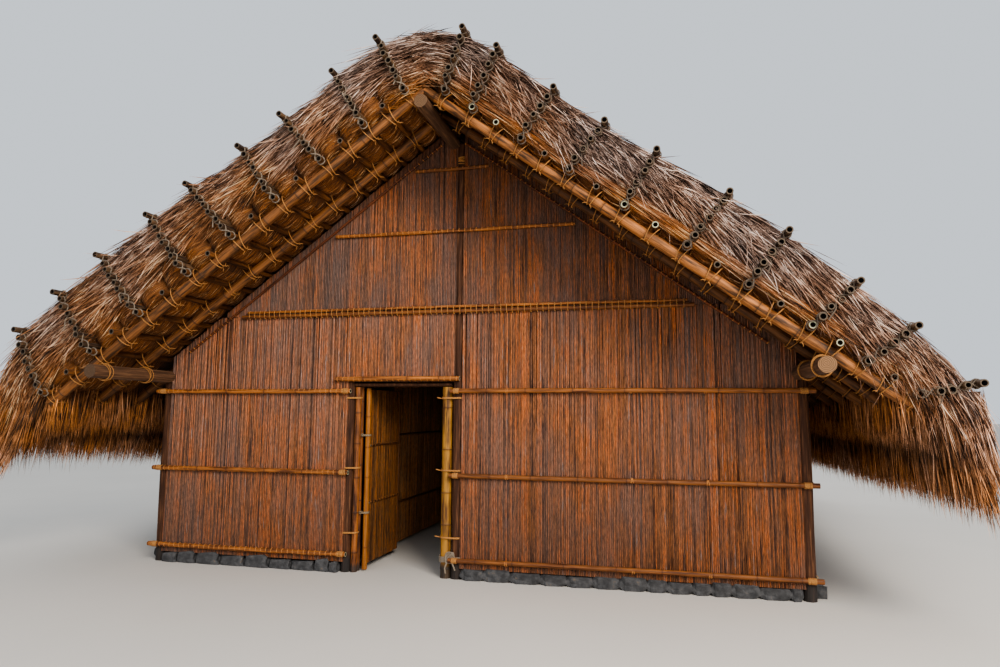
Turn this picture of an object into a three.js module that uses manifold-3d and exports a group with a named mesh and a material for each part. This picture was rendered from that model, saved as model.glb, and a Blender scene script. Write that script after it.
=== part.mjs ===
// Gable-fronted house of bamboo, cane and thatch. Millimetres, +Z up, the door side faces -Y.
// The origin is on the ground in the middle of the plan.
import * as THREE from "three";
import { mergeVertices } from "three/addons/utils/BufferGeometryUtils.js";
import Module from "manifold-3d";

const wasm = await Module();
wasm.setup();

const GAP = 0.3; // left between solids that touch

// Plan
const WALL_Y = 3800; // wall posts stand at Y = +WALL_Y and -WALL_Y
const CORNER_X = 3170;
const CORNER_R = 57.7;
const PLATE_X = 3150;
const VERGE_Y = 4800; // end faces of the thatch

// Roof lines are written as height at the ridge minus SLOPE times the distance from it
const SLOPE = 0.739;
const COS = 1 / Math.hypot(1, SLOPE);
const RAFTER_TOP_Z = 4385;
const RAFTER_R = 50;
const RAFTER_END_X = 3740;
const RAFTER_COUNT = 19;
const RAFTER_LAST_Y = 4740;
const BATTEN = 50;
const BATTEN_SUNK = 2;
const BATTEN_END_Y = 4860;
const BATTENS_LEFT = [113, 493, 893, 1330, 1760, 2200, 2690, 3170, 3690];
const BATTENS_RIGHT = [180, 430, 850, 1250, 1690, 2160, 2600, 3030, 3390, 3710];
const RIDGE_R = 62.5;
const RIDGE_END_Y = 4850;
const PLATE_R = 65;
const PLATE_END_Y = 4930;
// A twelve-sided log reaches this share of its radius towards the roof slope
const LOG_REACH = Math.cos(Math.PI / 4 - Math.atan(SLOPE)) / Math.cos(Math.PI / 12);

// Thatch: outer line of each slope from the ridge to the eave, then the hanging fringe
const THATCH_LEFT = [[0, 4900], [470, 4800], [860, 4520], [1500, 4080], [2240, 3630],
  [3190, 2990], [3700, 2600], [4110, 2230], [4300, 1850]];
const THATCH_RIGHT = [[0, 4900], [450, 4805], [860, 4480], [1430, 4000], [2040, 3575],
  [2700, 3100], [3410, 2500], [3950, 1980], [4190, 1690]];
const FRINGE_LEFT = [[4320, 1450], [4290, 1050], [4020, 1000], [3950, 1320], [3850, 1600]];
const FRINGE_RIGHT = [[4240, 1380], [4320, 960], [4060, 900], [3930, 1250], [3830, 1560]];
const OUTER_POLE_R = 28;
const OUTER_POLE_END_Y = 4935;
const OUTER_POLE_SUNK = 15; // below the thatch surface, at the pole's middle
const OUTER_POLES_LEFT = [390, 800, 1298, 1707, 2229, 2633, 3154, 3606, 4020];
const OUTER_POLES_RIGHT = [400, 700, 1180, 1590, 1990, 2520, 2928, 3388, 3741, 4115];
const EAVE_X = 3800;

// Walls
const PANEL_FRONT = 58; // front face of the cane panels before the post line
const PANEL_BACK = 28;
const PANEL_LOW_Z = 118;
const PANEL_SPLIT_Z = 2540;
const PANEL_EDGE_X = 3180;
const ROOF_LINE_Z = 4430;
const RAIL_R = 22.5;
const RAIL_Z = [175, 957, 1758];
const RAIL_OUT_X = 3270;
const SIDE_FACE_X = 3208;
const SIDE_POST_Y = 1267;
const STONE_TOP_Z = 117.7;
const STONE_DEPTH = 150;

// Doorway and door. The door is drawn open, at a right angle to the wall
const CENTRE_X = 67;
const CENTRE_R = 58;
const CENTRE_TOP_R = 40;
const DOOR_POST_X = -1064;
const DOOR_POST_R = 50;
const JAMB_LEFT_X = -981.5;
const JAMB_LEFT_R = 32;
const JAMB_BACK_X = -975;
const JAMB_BACK_Y = -3734;
const JAMB_BACK_R = 25;
const JAMB_RIGHT_X = -41.3;
const JAMB_RIGHT_R = 50;
const LINTEL_LOW_Z = 1798;
const LINTEL_TOP_Z = 1847;
const HEAD_RAIL_Z = 1877;
const STILE_X = -905;
const STILE_Y = -3720;
const STILE_R = 27.5;
const STILE_TOP_Z = 1790;
const LEAF_WIDTH = 835;
const LEAF_LOW_Z = 60;
const LEAF_TOP_Z = 1785;
const LOOP_Z = [560, 1320];
const LOOP_HEIGHT = 24;
const LOOP_THICK = 8;
const LOOP_GAP = 0.5;

// Partition inside, behind the open door
const PARTITION_X = -1100;
const PARTITION_TOP_Z = 2100;

const COLOURS = {
  cane: 0x9a5a2c, cane_dark: 0x74452a, bamboo: 0xb9762f, bamboo_yellow: 0xb98b2e,
  post: 0x3b2b22, log: 0x5d4532, rope: 0xc7b083, reed: 0x8a6a38, stone: 0x77736b,
  thatch: 0x9b8160, fringe: 0xa0733c,
};

const house = new THREE.Group();
house.name = "thatched_house";

function slopeZ(top, x) {
  return top - SLOPE * Math.abs(x);
}

// Solids

function solid(geometry) {
  const bare = geometry.clone();
  bare.deleteAttribute("normal");
  bare.deleteAttribute("uv");
  const merged = mergeVertices(bare, 1e-4);
  return new wasm.Manifold(new wasm.Mesh({
    numProp: 3,
    vertProperties: Float32Array.from(merged.attributes.position.array),
    triVerts: Uint32Array.from(merged.index.array),
  }));
}

function toGeometry(body) {
  const mesh = body.getMesh();
  const geometry = new THREE.BufferGeometry();
  const points = new Float32Array(mesh.numVert * 3);
  for (let i = 0; i < mesh.numVert; i++) {
    for (let k = 0; k < 3; k++) points[3 * i + k] = mesh.vertProperties[mesh.numProp * i + k];
  }
  geometry.setAttribute("position", new THREE.BufferAttribute(points, 3));
  geometry.setIndex(new THREE.BufferAttribute(Uint32Array.from(mesh.triVerts), 1));
  const flat = geometry.toNonIndexed();
  flat.computeVertexNormals();
  return flat;
}

function add(name, body, colour) {
  const material = new THREE.MeshStandardMaterial({ color: COLOURS[colour], roughness: 0.85 });
  material.name = colour;
  const mesh = new THREE.Mesh(toGeometry(body), material);
  mesh.name = name;
  house.add(mesh);
}

function union(bodies) {
  return bodies.reduce((sum, body) => sum.add(body));
}

function cut(body, ...tools) {
  return tools.reduce((left, tool) => left.subtract(tool), body);
}

function box(low, high) {
  const size = low.map((v, i) => high[i] - v);
  const geometry = new THREE.BoxGeometry(...size);
  geometry.translate(...low.map((v, i) => v + size[i] / 2));
  return solid(geometry);
}

// A round or few-sided bar from a to b. The radius is measured to its flats, and one flat faces up
function bar(a, b, radius, sides = 12, endRadius = radius) {
  const from = new THREE.Vector3(...a);
  const along = new THREE.Vector3(...b).sub(from);
  const length = along.length();
  along.normalize();
  const helper = Math.abs(along.z) > 0.99 ? new THREE.Vector3(0, 1, 0) : new THREE.Vector3(0, 0, 1);
  const side = new THREE.Vector3().crossVectors(helper, along).normalize();
  const up = new THREE.Vector3().crossVectors(along, side);
  const grow = 1 / Math.cos(Math.PI / sides);
  const geometry = new THREE.CylinderGeometry(endRadius * grow, radius * grow, length, sides, 1, false,
    Math.PI / sides);
  geometry.translate(0, length / 2, 0);
  geometry.applyMatrix4(new THREE.Matrix4().makeBasis(side, along, up.negate()).setPosition(from));
  return solid(geometry);
}

function post(x, y, low, high, radius, topRadius = radius, sides = 12) {
  return bar([x, y, low], [x, y, high], radius, sides, topRadius);
}

// A flat outline in X and Z, carried along Y
function prism(points, y0, y1) {
  const shape = new THREE.Shape(points.map(([x, z]) => new THREE.Vector2(x, z)));
  const geometry = new THREE.ExtrudeGeometry(shape, { depth: y1 - y0, bevelEnabled: false });
  geometry.rotateX(Math.PI / 2);
  geometry.translate(0, y1, 0);
  return solid(geometry);
}

// Tools that cut room for a member, GAP wider than the member itself

function plateRoom(side) {
  return bar([side * PLATE_X, -PLATE_END_Y, plateZ()], [side * PLATE_X, PLATE_END_Y, plateZ()],
    PLATE_R + 2 * GAP, 12);
}

function ridgeRoom() {
  return bar([0, -RIDGE_END_Y, ridgeZ()], [0, RIDGE_END_Y, ridgeZ()], RIDGE_R + 2 * GAP, 12);
}

function ridgeZ() {
  return RAFTER_TOP_Z - (RAFTER_R + RIDGE_R * LOG_REACH + GAP) / COS;
}

function plateZ() {
  return slopeZ(RAFTER_TOP_Z, PLATE_X) - (RAFTER_R + PLATE_R * LOG_REACH + GAP) / COS;
}

function underPlateZ() {
  return plateZ() - PLATE_R - GAP;
}

// Posts

function addPosts() {
  const top = underPlateZ();
  for (const [side, word] of [[-1, "left"], [1, "right"]]) {
    for (const [end, place] of [[-1, "front"], [1, "back"]]) {
      add(`corner_post_${place}_${word}`, post(side * CORNER_X, end * WALL_Y, 0, top, CORNER_R), "post");
    }
  }
  add("front_centre_post", cut(centrePost(-WALL_Y), ridgeRoom()), "post");
  add("back_centre_post", cut(centrePost(WALL_Y), ridgeRoom()), "post");
  add("middle_ridge_post", post(0, 0, 0, ridgeZ() - RIDGE_R - GAP, CENTRE_R, CENTRE_TOP_R), "post");
  add("door_left_post", post(DOOR_POST_X, -WALL_Y, 0, LINTEL_TOP_Z, DOOR_POST_R), "post");
}

function centrePost(y, room = 0) {
  return post(CENTRE_X, y, 0, ridgeZ(), CENTRE_R + room, CENTRE_TOP_R + room);
}

// Front wall

function panel(points, y) {
  return prism(points, y - PANEL_FRONT, y - PANEL_BACK);
}

function wallOutline(inner, side) {
  const bend = (ROOF_LINE_Z - PANEL_SPLIT_Z) / SLOPE;
  const points = [[inner, PANEL_LOW_Z], [side * PANEL_EDGE_X, PANEL_LOW_Z],
    [side * PANEL_EDGE_X, slopeZ(ROOF_LINE_Z, PANEL_EDGE_X)], [side * bend, PANEL_SPLIT_Z],
    [inner, PANEL_SPLIT_Z]];
  return side > 0 ? points : points.reverse();
}

function gableOutline(inner, side) {
  const low = PANEL_SPLIT_Z + GAP;
  const peak = side * inner < 0 ? [[0, ROOF_LINE_Z]] : [];
  const points = [[inner, low], [side * (ROOF_LINE_Z - low) / SLOPE, low], ...peak,
    [inner, slopeZ(ROOF_LINE_Z, inner)]];
  return side > 0 ? points : points.reverse();
}

function addFrontWall() {
  const y = -WALL_Y;
  const centre = centrePost(y, 2 * GAP);
  const doorPost = post(DOOR_POST_X, y, 0, LINTEL_TOP_Z + GAP, DOOR_POST_R + 2 * GAP);
  const corner = (side) => post(side * CORNER_X, y, 0, plateZ(), CORNER_R + 2 * GAP);
  const split = DOOR_POST_X - 21;
  add("front_wall_left", cut(panel(wallOutline(split - GAP, -1), y), corner(-1), doorPost,
    plateRoom(-1)), "cane");
  add("front_wall_right", cut(panel(wallOutline(CENTRE_X + 24, 1), y), corner(1), centre,
    plateRoom(1)), "cane");
  const over = [[split, LINTEL_TOP_Z + GAP], [CENTRE_X - 24, LINTEL_TOP_Z + GAP],
    [CENTRE_X - 24, PANEL_SPLIT_Z], [split, PANEL_SPLIT_Z]];
  add("front_wall_over_door", cut(panel(over, y), centre, doorPost), "cane");
  add("front_gable_left", cut(panel(gableOutline(CENTRE_X - 24, -1), y), centre, ridgeRoom()), "cane_dark");
  add("front_gable_right", cut(panel(gableOutline(CENTRE_X + 24, 1), y), centre, ridgeRoom()), "cane_dark");
}

function railY(radius) {
  return -WALL_Y - PANEL_FRONT - GAP - radius;
}

function rail(x0, x1, z, radius = RAIL_R) {
  return bar([x0, railY(radius), z], [x1, railY(radius), z], radius, 12);
}

// Two canes one over the other, held together by cane wraps
function doubleRail() {
  const pair = [rail(-2290, 2290, 2532, 19), rail(-2230, 2230, 2577, 14)];
  for (let x = -2160; x <= 2160; x += 720) {
    pair.push(box([x - 7, -WALL_Y - PANEL_FRONT - 26, 2540], [x + 7, -WALL_Y - PANEL_FRONT - 6, 2572]));
  }
  return union(pair);
}

function addFrontRails() {
  ["low", "mid", "high"].forEach((word, i) => {
    add(`front_${word}_rail_left`, rail(-RAIL_OUT_X, DOOR_POST_X + 30, RAIL_Z[i]), "bamboo");
    add(`front_${word}_rail_right`, rail(CENTRE_X - 60, RAIL_OUT_X, RAIL_Z[i]), "bamboo");
  });
  add("door_head_rail", rail(-1203, 97, HEAD_RAIL_Z), "bamboo");
  add("gable_low_rail", doubleRail(), "bamboo");
  add("gable_mid_rail", rail(-1250, 1220, 3342, 17), "bamboo");
  add("gable_top_rail", rail(-395, 370, 3974, 17), "bamboo");
  for (const [side, word] of [[-1, "left"], [1, "right"]]) {
    const line = 4322;
    const y = railY(12);
    const low = [side * 2900, y, slopeZ(line, 2900)];
    add(`gable_trim_${word}`, bar(low, [side * 130, y, slopeZ(line, 130)], 12, 8), "bamboo");
  }
}

// Doorway

function addDoorFrame() {
  const top = LINTEL_LOW_Z - GAP;
  add("door_jamb_left", post(JAMB_LEFT_X, -WALL_Y, 0, top, JAMB_LEFT_R), "bamboo");
  add("door_jamb_left_back", post(JAMB_BACK_X, JAMB_BACK_Y, 0, top, JAMB_BACK_R, JAMB_BACK_R, 24), "bamboo");
  add("door_jamb_right", post(JAMB_RIGHT_X, -WALL_Y, 0, top, JAMB_RIGHT_R), "bamboo_yellow");
  const lintel = box([DOOR_POST_X + DOOR_POST_R + GAP, -WALL_Y - 45, LINTEL_LOW_Z],
    [CENTRE_X - CENTRE_R - GAP, -WALL_Y + 72, LINTEL_TOP_Z]);
  add("door_lintel", lintel, "post");
}

// Closed strap round the hinge pole and the pole behind the left jamb
function loop(z) {
  const ring = (more) => hullOfCircles([[JAMB_BACK_X, JAMB_BACK_Y, JAMB_BACK_R + more],
    [STILE_X, STILE_Y, STILE_R + more]], 10);
  const shape = new THREE.Shape(ring(LOOP_GAP + LOOP_THICK));
  shape.holes.push(new THREE.Path(ring(LOOP_GAP)));
  const geometry = new THREE.ExtrudeGeometry(shape, { depth: LOOP_HEIGHT, bevelEnabled: false });
  geometry.translate(0, 0, z - LOOP_HEIGHT / 2);
  return solid(geometry);
}

// Outline that wraps two circles: points on each circle's far side, joined by straight lines
function hullOfCircles([[x0, y0, r0], [x1, y1, r1]], steps) {
  const turn = Math.atan2(y1 - y0, x1 - x0);
  const lean = Math.asin((r0 - r1) / Math.hypot(x1 - x0, y1 - y0));
  const points = [];
  const arc = (x, y, r, start, end) => {
    const grow = r / Math.cos((end - start) / steps / 2);
    for (let i = 0; i <= steps; i++) {
      const a = turn + start + (end - start) * i / steps;
      points.push(new THREE.Vector2(x + grow * Math.cos(a), y + grow * Math.sin(a)));
    }
  };
  arc(x1, y1, r1, -Math.PI / 2 + lean, Math.PI / 2 - lean);
  arc(x0, y0, r0, Math.PI / 2 - lean, 1.5 * Math.PI + lean);
  return points;
}

function addDoor() {
  add("door_hinge_pole", post(STILE_X, STILE_Y, 12, STILE_TOP_Z, STILE_R, STILE_R, 24), "bamboo_yellow");
  const near = STILE_Y + STILE_R + GAP;
  const far = STILE_Y + LEAF_WIDTH;
  let leaf = box([STILE_X - 8, near, LEAF_LOW_Z], [STILE_X + 8, far, LEAF_TOP_Z]);
  leaf = leaf.add(post(STILE_X, far, LEAF_LOW_Z, LEAF_TOP_Z, 12, 12, 8));
  for (const z of [650, 1215]) {
    leaf = leaf.add(bar([STILE_X + 8, near + 20, z], [STILE_X + 8, far, z], 10, 8));
  }
  for (const z of LOOP_Z) {
    leaf = leaf.subtract(box([STILE_X - 30, STILE_Y, z - 19], [STILE_X + 30, STILE_Y + 44, z + 19]));
  }
  add("door_leaf", leaf, "reed");
  add("hinge_loop_lower", loop(LOOP_Z[0]), "rope");
  add("hinge_loop_upper", loop(LOOP_Z[1]), "rope");
}

// Back and side walls carry their rails fused on the outer face

function addBackWall() {
  const centre = centrePost(WALL_Y, 2 * GAP);
  for (const [side, word] of [[-1, "left"], [1, "right"]]) {
    const inner = CENTRE_X + side * 24;
    const peak = side * inner < 0 ? [[0, ROOF_LINE_Z]] : [];
    const outline = [[inner, PANEL_LOW_Z], [side * PANEL_EDGE_X, PANEL_LOW_Z],
      [side * PANEL_EDGE_X, slopeZ(ROOF_LINE_Z, PANEL_EDGE_X)], ...peak, [inner, slopeZ(ROOF_LINE_Z, inner)]];
    const wall = [prism(side > 0 ? outline : outline.reverse(), WALL_Y + PANEL_BACK, WALL_Y + PANEL_FRONT)];
    const y = WALL_Y + PANEL_FRONT + RAIL_R - 3;
    const ends = [3150, 3150, 3150, 2300, 1250, 380];
    [...RAIL_Z, 2544, 3342, 3974].forEach((z, i) => {
      wall.push(bar([inner, y, z], [side * ends[i], y, z], RAIL_R, 8));
    });
    const corner = post(side * CORNER_X, WALL_Y, 0, plateZ(), CORNER_R + 2 * GAP);
    add(`back_wall_${word}`, cut(union(wall), corner, centre, ridgeRoom(), plateRoom(side)), "cane");
  }
}

function addSideWalls() {
  const end = WALL_Y - CORNER_R - GAP;
  for (const [side, word] of [[-1, "left"], [1, "right"]]) {
    const face = side * SIDE_FACE_X;
    const inner = side * (SIDE_FACE_X - 30);
    const wall = [box([Math.min(face, inner), -end, PANEL_LOW_Z], [Math.max(face, inner), end, underPlateZ()])];
    for (const z of RAIL_Z) {
      const x = face + side * (RAIL_R - 3);
      wall.push(bar([x, -end, z], [x, end, z], RAIL_R, 8));
    }
    for (const y of [-SIDE_POST_Y, SIDE_POST_Y]) {
      wall.push(post(inner - side * 46, y, 0, underPlateZ(), 50, 50, 8));
    }
    add(`${word}_wall`, union(wall), "cane");
  }
}

function rafterYs() {
  const step = 2 * RAFTER_LAST_Y / (RAFTER_COUNT - 1);
  return Array.from({ length: RAFTER_COUNT }, (_, i) => i * step - RAFTER_LAST_Y);
}

// The end posts of the partition stand under the sixth and the ninth rafter
function addPartition() {
  const ys = rafterYs();
  const top = slopeZ(RAFTER_TOP_Z, PARTITION_X - 30) - RAFTER_R / COS - GAP;
  const [near, far] = [ys[4], ys[8]];
  const wall = [box([PARTITION_X - 10, near, 30], [PARTITION_X + 10, far, PARTITION_TOP_Z])];
  for (const y of [near, far]) wall.push(post(PARTITION_X, y, 0, top, 30, 30, 8));
  for (const z of [500, 1285, 2060]) {
    wall.push(bar([PARTITION_X + 12, near, z], [PARTITION_X + 12, far, z], 12, 8));
  }
  add("inner_partition", union(wall), "reed");
}

// Low rows of stones under the walls

function stoneOutline(x0, x1) {
  const count = Math.round((x1 - x0) / 230);
  const points = [[x0, 0], [x1, 0]];
  for (let i = count; i >= 0; i--) {
    const x = x0 + (x1 - x0) * i / count;
    points.push([x, i % 3 === 1 ? STONE_TOP_Z : 78 + 22 * Math.sin(2.3 * i)]);
  }
  return points;
}

function addStones() {
  const row = (x0, x1) => prism(stoneOutline(x0, x1), -STONE_DEPTH / 2, STONE_DEPTH / 2);
  const front = -WALL_Y - 20;
  const reach = CORNER_X - CORNER_R - 4;
  add("stones_front_left", row(-reach, DOOR_POST_X - 56).translate(0, front, 0), "stone");
  add("stones_front_right", row(CENTRE_X + 64, reach).translate(0, front, 0), "stone");
  for (const [side, word] of [[-1, "left"], [1, "right"]]) {
    const x0 = side > 0 ? CENTRE_X + 64 : -reach;
    const x1 = side > 0 ? reach : CENTRE_X - 64;
    add(`stones_back_${word}`, row(x0, x1).translate(0, WALL_Y + 20, 0), "stone");
  }
  const length = WALL_Y - CORNER_R - 4;
  for (const [side, word] of [[-1, "left"], [1, "right"]]) {
    const wall = row(-length, length).rotate(0, 0, 90).translate(side * (SIDE_FACE_X - 25 + STONE_DEPTH / 2), 0, 0);
    add(`stones_${word}`, wall, "stone");
  }
}

// Roof timbers

function addRoofLogs() {
  add("ridge_pole", bar([0, -RIDGE_END_Y, ridgeZ()], [0, RIDGE_END_Y, ridgeZ()], RIDGE_R, 12), "log");
  for (const [side, word] of [[-1, "left"], [1, "right"]]) {
    const x = side * PLATE_X;
    add(`wall_plate_${word}`, bar([x, -PLATE_END_Y, plateZ()], [x, PLATE_END_Y, plateZ()], PLATE_R, 12), "log");
  }
}

// Square batten lying on the rafters of one slope
function batten(side, x) {
  const geometry = new THREE.BoxGeometry(BATTEN, 2 * BATTEN_END_Y, BATTEN);
  geometry.rotateY(side * Math.atan(SLOPE));
  const lift = (RAFTER_R + BATTEN / 2 - BATTEN_SUNK) / COS;
  geometry.translate(side * x, 0, slopeZ(RAFTER_TOP_Z, x) + lift);
  return solid(geometry);
}

function addRoofFrame(side, word, battens) {
  const bars = rafterYs().map((y) => {
    const low = [side * RAFTER_END_X, y, slopeZ(RAFTER_TOP_Z, RAFTER_END_X)];
    return bar(low, [-side * 100, y, RAFTER_TOP_Z + SLOPE * 100], RAFTER_R, 6);
  });
  const frame = union([...bars, ...battens.map((x) => batten(side, x))]);
  const other = side > 0 ? [[-400, -5000, 3000], [GAP / 2, 5000, 5000]] : [[-GAP / 2, -5000, 3000], [400, 5000, 5000]];
  add(`roof_frame_${word}`, frame.subtract(box(...other)), "bamboo");
}

// Thatch

function thatchLowZ(x) {
  return slopeZ(RAFTER_TOP_Z, x) + (RAFTER_R + BATTEN - BATTEN_SUNK + GAP) / COS;
}

function outerLine(points) {
  return new THREE.SplineCurve(points.map(([x, z]) => new THREE.Vector2(x, z))).getPoints(18);
}

function heightAt(line, x) {
  const i = Math.max(1, line.findIndex((p) => p.x >= x));
  const [a, b] = [line[i - 1], line[i]];
  return a.y + (b.y - a.y) * (x - a.x) / (b.x - a.x);
}

function addThatch(side, word, outer, fringe, poles) {
  const line = outerLine(outer);
  const eaveZ = thatchLowZ(EAVE_X);
  const last = line[line.length - 1];
  const mirror = (points) => {
    const placed = points.map(([x, z]) => [side * x, z]);
    return side > 0 ? placed : placed.reverse();
  };
  const slab = [[GAP / 2, thatchLowZ(GAP / 2)], [EAVE_X, eaveZ], [last.x, eaveZ],
    ...line.slice(1, -1).reverse().map((p) => [p.x, p.y]), [GAP / 2, line[0].y]];
  const bodies = [prism(mirror(slab), -VERGE_Y, VERGE_Y)];
  for (const x of poles) {
    const z = heightAt(line, x) - OUTER_POLE_SUNK;
    bodies.push(bar([side * x, -OUTER_POLE_END_Y, z], [side * x, OUTER_POLE_END_Y, z], OUTER_POLE_R, 8));
  }
  add(`thatch_${word}`, union(bodies), "thatch");
  const skirt = [[EAVE_X + 10, eaveZ - GAP], ...fringe.slice().reverse(), [last.x - 5, eaveZ - GAP]];
  add(`eave_fringe_${word}`, prism(mirror(skirt), -VERGE_Y, VERGE_Y), "fringe");
}

addPosts();
addFrontWall();
addFrontRails();
addDoorFrame();
addDoor();
addBackWall();
addSideWalls();
addPartition();
addStones();
addRoofLogs();
addRoofFrame(-1, "left", BATTENS_LEFT);
addRoofFrame(1, "right", BATTENS_RIGHT);
addThatch(-1, "left", THATCH_LEFT, FRINGE_LEFT, OUTER_POLES_LEFT);
addThatch(1, "right", THATCH_RIGHT, FRINGE_RIGHT, OUTER_POLES_RIGHT);

export default house;
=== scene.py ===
"""Looks of a gable-fronted house of bamboo, cane and thatch, built round its fixed frame.

Metres, +Z up, the door side faces -Y. Each operator makes one group of like pieces.
"""

import random
from functools import partial
from math import atan, copysign, cos, exp, pi, radians, sin

import bmesh
import bpy
from bpy.props import FloatProperty, FloatVectorProperty, IntProperty, PointerProperty
from mathutils import Matrix, Vector, noise


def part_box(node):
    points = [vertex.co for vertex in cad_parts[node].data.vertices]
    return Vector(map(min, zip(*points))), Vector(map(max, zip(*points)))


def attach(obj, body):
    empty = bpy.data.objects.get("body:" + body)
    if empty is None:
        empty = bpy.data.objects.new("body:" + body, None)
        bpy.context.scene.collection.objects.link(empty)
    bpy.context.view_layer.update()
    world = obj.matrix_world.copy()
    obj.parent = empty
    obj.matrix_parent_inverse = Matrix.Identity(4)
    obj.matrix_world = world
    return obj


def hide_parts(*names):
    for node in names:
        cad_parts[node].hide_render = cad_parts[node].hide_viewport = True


bl_info = {
    "name": "Thatched bamboo house",
    "version": (1, 0, 0),
    "blender": (4, 5, 0),
    "location": "View3D > Sidebar > House",
    "description": "Dresses the frame of a thatched house in canes, bamboo, rattan and straw",
    "category": "Object",
}

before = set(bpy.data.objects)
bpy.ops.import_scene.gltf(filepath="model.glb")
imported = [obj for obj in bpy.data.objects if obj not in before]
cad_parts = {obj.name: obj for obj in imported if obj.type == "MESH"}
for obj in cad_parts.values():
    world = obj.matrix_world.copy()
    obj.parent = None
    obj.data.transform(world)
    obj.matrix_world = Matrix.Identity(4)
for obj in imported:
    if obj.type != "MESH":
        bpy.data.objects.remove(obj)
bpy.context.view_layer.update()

# Lines that the frame was drawn from, in metres. A pole is X, Y and radius.
WALL_Y, CORNER_X, CENTRE_X = 3.8, 3.17, 0.067
PANEL_Y, PANEL_END_X, RAIL_FACE_Y = WALL_Y + 0.043, 3.122, WALL_Y + 0.058
WALL_FOOT_Z, WALL_HEAD_Z, GABLE_TOP_Z = 0.1, 2.54, 4.4
RAIL_Z, GABLE_RAIL_Z = (0.175, 0.957, 1.758), (3.342, 3.974)
RAIL_R, GABLE_RAIL_R = 0.0225, 0.017
DOOR_POST, CENTRE_POST = (-1.064, -WALL_Y, 0.05), (CENTRE_X, -WALL_Y, 0.058)
JAMB_LEFT, JAMB_BACK = (-0.9815, -WALL_Y, 0.032), (-0.975, -3.734, 0.025)
JAMB_RIGHT = (-0.0413, -WALL_Y, 0.05)
HINGE_X, HINGE_Y, LEAF_Y, LOOP_KNOT = -0.905, -3.72, (-3.676, -2.888), (-0.942, -3.772)
PARTITION_X = -1.1
SLOPE = 0.739
ANGLE = atan(SLOPE)
RAFTER_Z, RAFTER_END_X, RAFTER_END_Y = 4.385, 3.74, 4.74
RAFTER_Y = [-RAFTER_END_Y + 2 * RAFTER_END_Y * i / 18 for i in range(19)]
BATTEN_LIFT, BATTEN_END_Y = 0.0725, 4.86
BATTENS = {
    -1: (0.113, 0.493, 0.893, 1.330, 1.760, 2.200, 2.690, 3.170, 3.690),
    1: (0.180, 0.430, 0.850, 1.250, 1.690, 2.160, 2.600, 3.030, 3.390, 3.710),
}
OUTER_POLES = {
    -1: (0.390, 0.800, 1.298, 1.707, 2.229, 2.633, 3.154, 3.606, 4.020),
    1: (0.400, 0.700, 1.180, 1.590, 1.990, 2.520, 2.928, 3.388, 3.741, 4.115),
}
OUTER_POLE_END_Y, VERGE_Y, EAVE_X = 4.965, 4.8, 3.8
THATCH_LOW_Z = RAFTER_Z + 0.0983 / cos(ANGLE)
THATCH_LINE = {
    -1: ((0, 4.9), (0.47, 4.8), (0.86, 4.52), (1.5, 4.08), (2.24, 3.63), (3.19, 2.99), (3.7, 2.6),
         (4.11, 2.23), (4.3, 1.85)),
    1: ((0, 4.9), (0.45, 4.805), (0.86, 4.48), (1.43, 4.0), (2.04, 3.575), (2.7, 3.1), (3.41, 2.5),
        (3.95, 1.98), (4.19, 1.69)),
}
FRINGE_TIP = {-1: (4.30, 1.02), 1: (4.21, 0.87)}
FRINGE_BULGE = {-1: (4.32, 1.45), 1: (4.18, 1.38)}
COURSE = 0.42
SIDES, ENDS = ((-1, "left"), (1, "right")), ((-1, "front"), (1, "back"))

# Where the photograph was taken from, and its focal length in pixels of its width
EYE, YAW, PITCH, ROLL = (2.005, -10.258, 1.55), radians(13.33), radians(6.57), radians(0.377)
FOCAL_PIXELS, PHOTO_WIDTH, SENSOR_MM = 690.3, 1000, 36


def linear(shade):
    """An sRGB hex colour as linear red, green and blue. A colour that is linear already stays as it is."""
    if not isinstance(shade, str):
        return tuple(shade)
    channels = [int(shade[i:i + 2], 16) / 255 for i in (0, 2, 4)]
    return tuple(c / 12.92 if c <= 0.04045 else ((c + 0.055) / 1.055) ** 2.4 for c in channels)


def times(shade, factor):
    """The colour, made darker or paler."""
    return tuple(min(1.0, c * factor) for c in linear(shade))


def size(name, text, default):
    return FloatProperty(name=name, description=text, default=default, min=0, unit="LENGTH")


def amount(name, text, default):
    return IntProperty(name=name, description=text, default=default, min=0)


def colour(name, text, shade):
    return FloatVectorProperty(name=name, description=text, default=linear(shade), size=3, min=0, max=1,
                               subtype="COLOR")


class HouseWallSizes(bpy.types.PropertyGroup):
    """Sizes of the canes, rails and wraps."""

    cane: size("Cane width", "Spacing of the canes in a wall, drawn wide enough to show", 0.0165)
    reed: size("Reed width", "Spacing of the reeds in the door and the partition", 0.016)
    wrap_step: size("Wrap spacing", "Distance between two rattan wraps on a rail", 0.058)
    wrap: size("Wrap thickness", "Thickness of a rattan wrap", 0.006)
    internode: size("Internode", "Distance between two bamboo nodes", 0.34)


class HouseRoofSizes(bpy.types.PropertyGroup):
    """Sizes and amounts of the straws and ropes of the roof."""

    straw_length: size("Straw length", "Length of a straw on the verge", 0.44)
    straw_width: size("Straw width", "Width of a straw, drawn wide enough to show", 0.0088)
    verge_straws: amount("Verge straws", "Straws on a square metre of verge", 5400)
    roof_straws: amount("Roof straws", "Straws on a square metre of slope", 470)
    fringe_straws: amount("Fringe straws", "Straws on a metre of eave", 1150)
    rope: size("Rope strand", "Radius of one strand of a tie", 0.0055)


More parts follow.
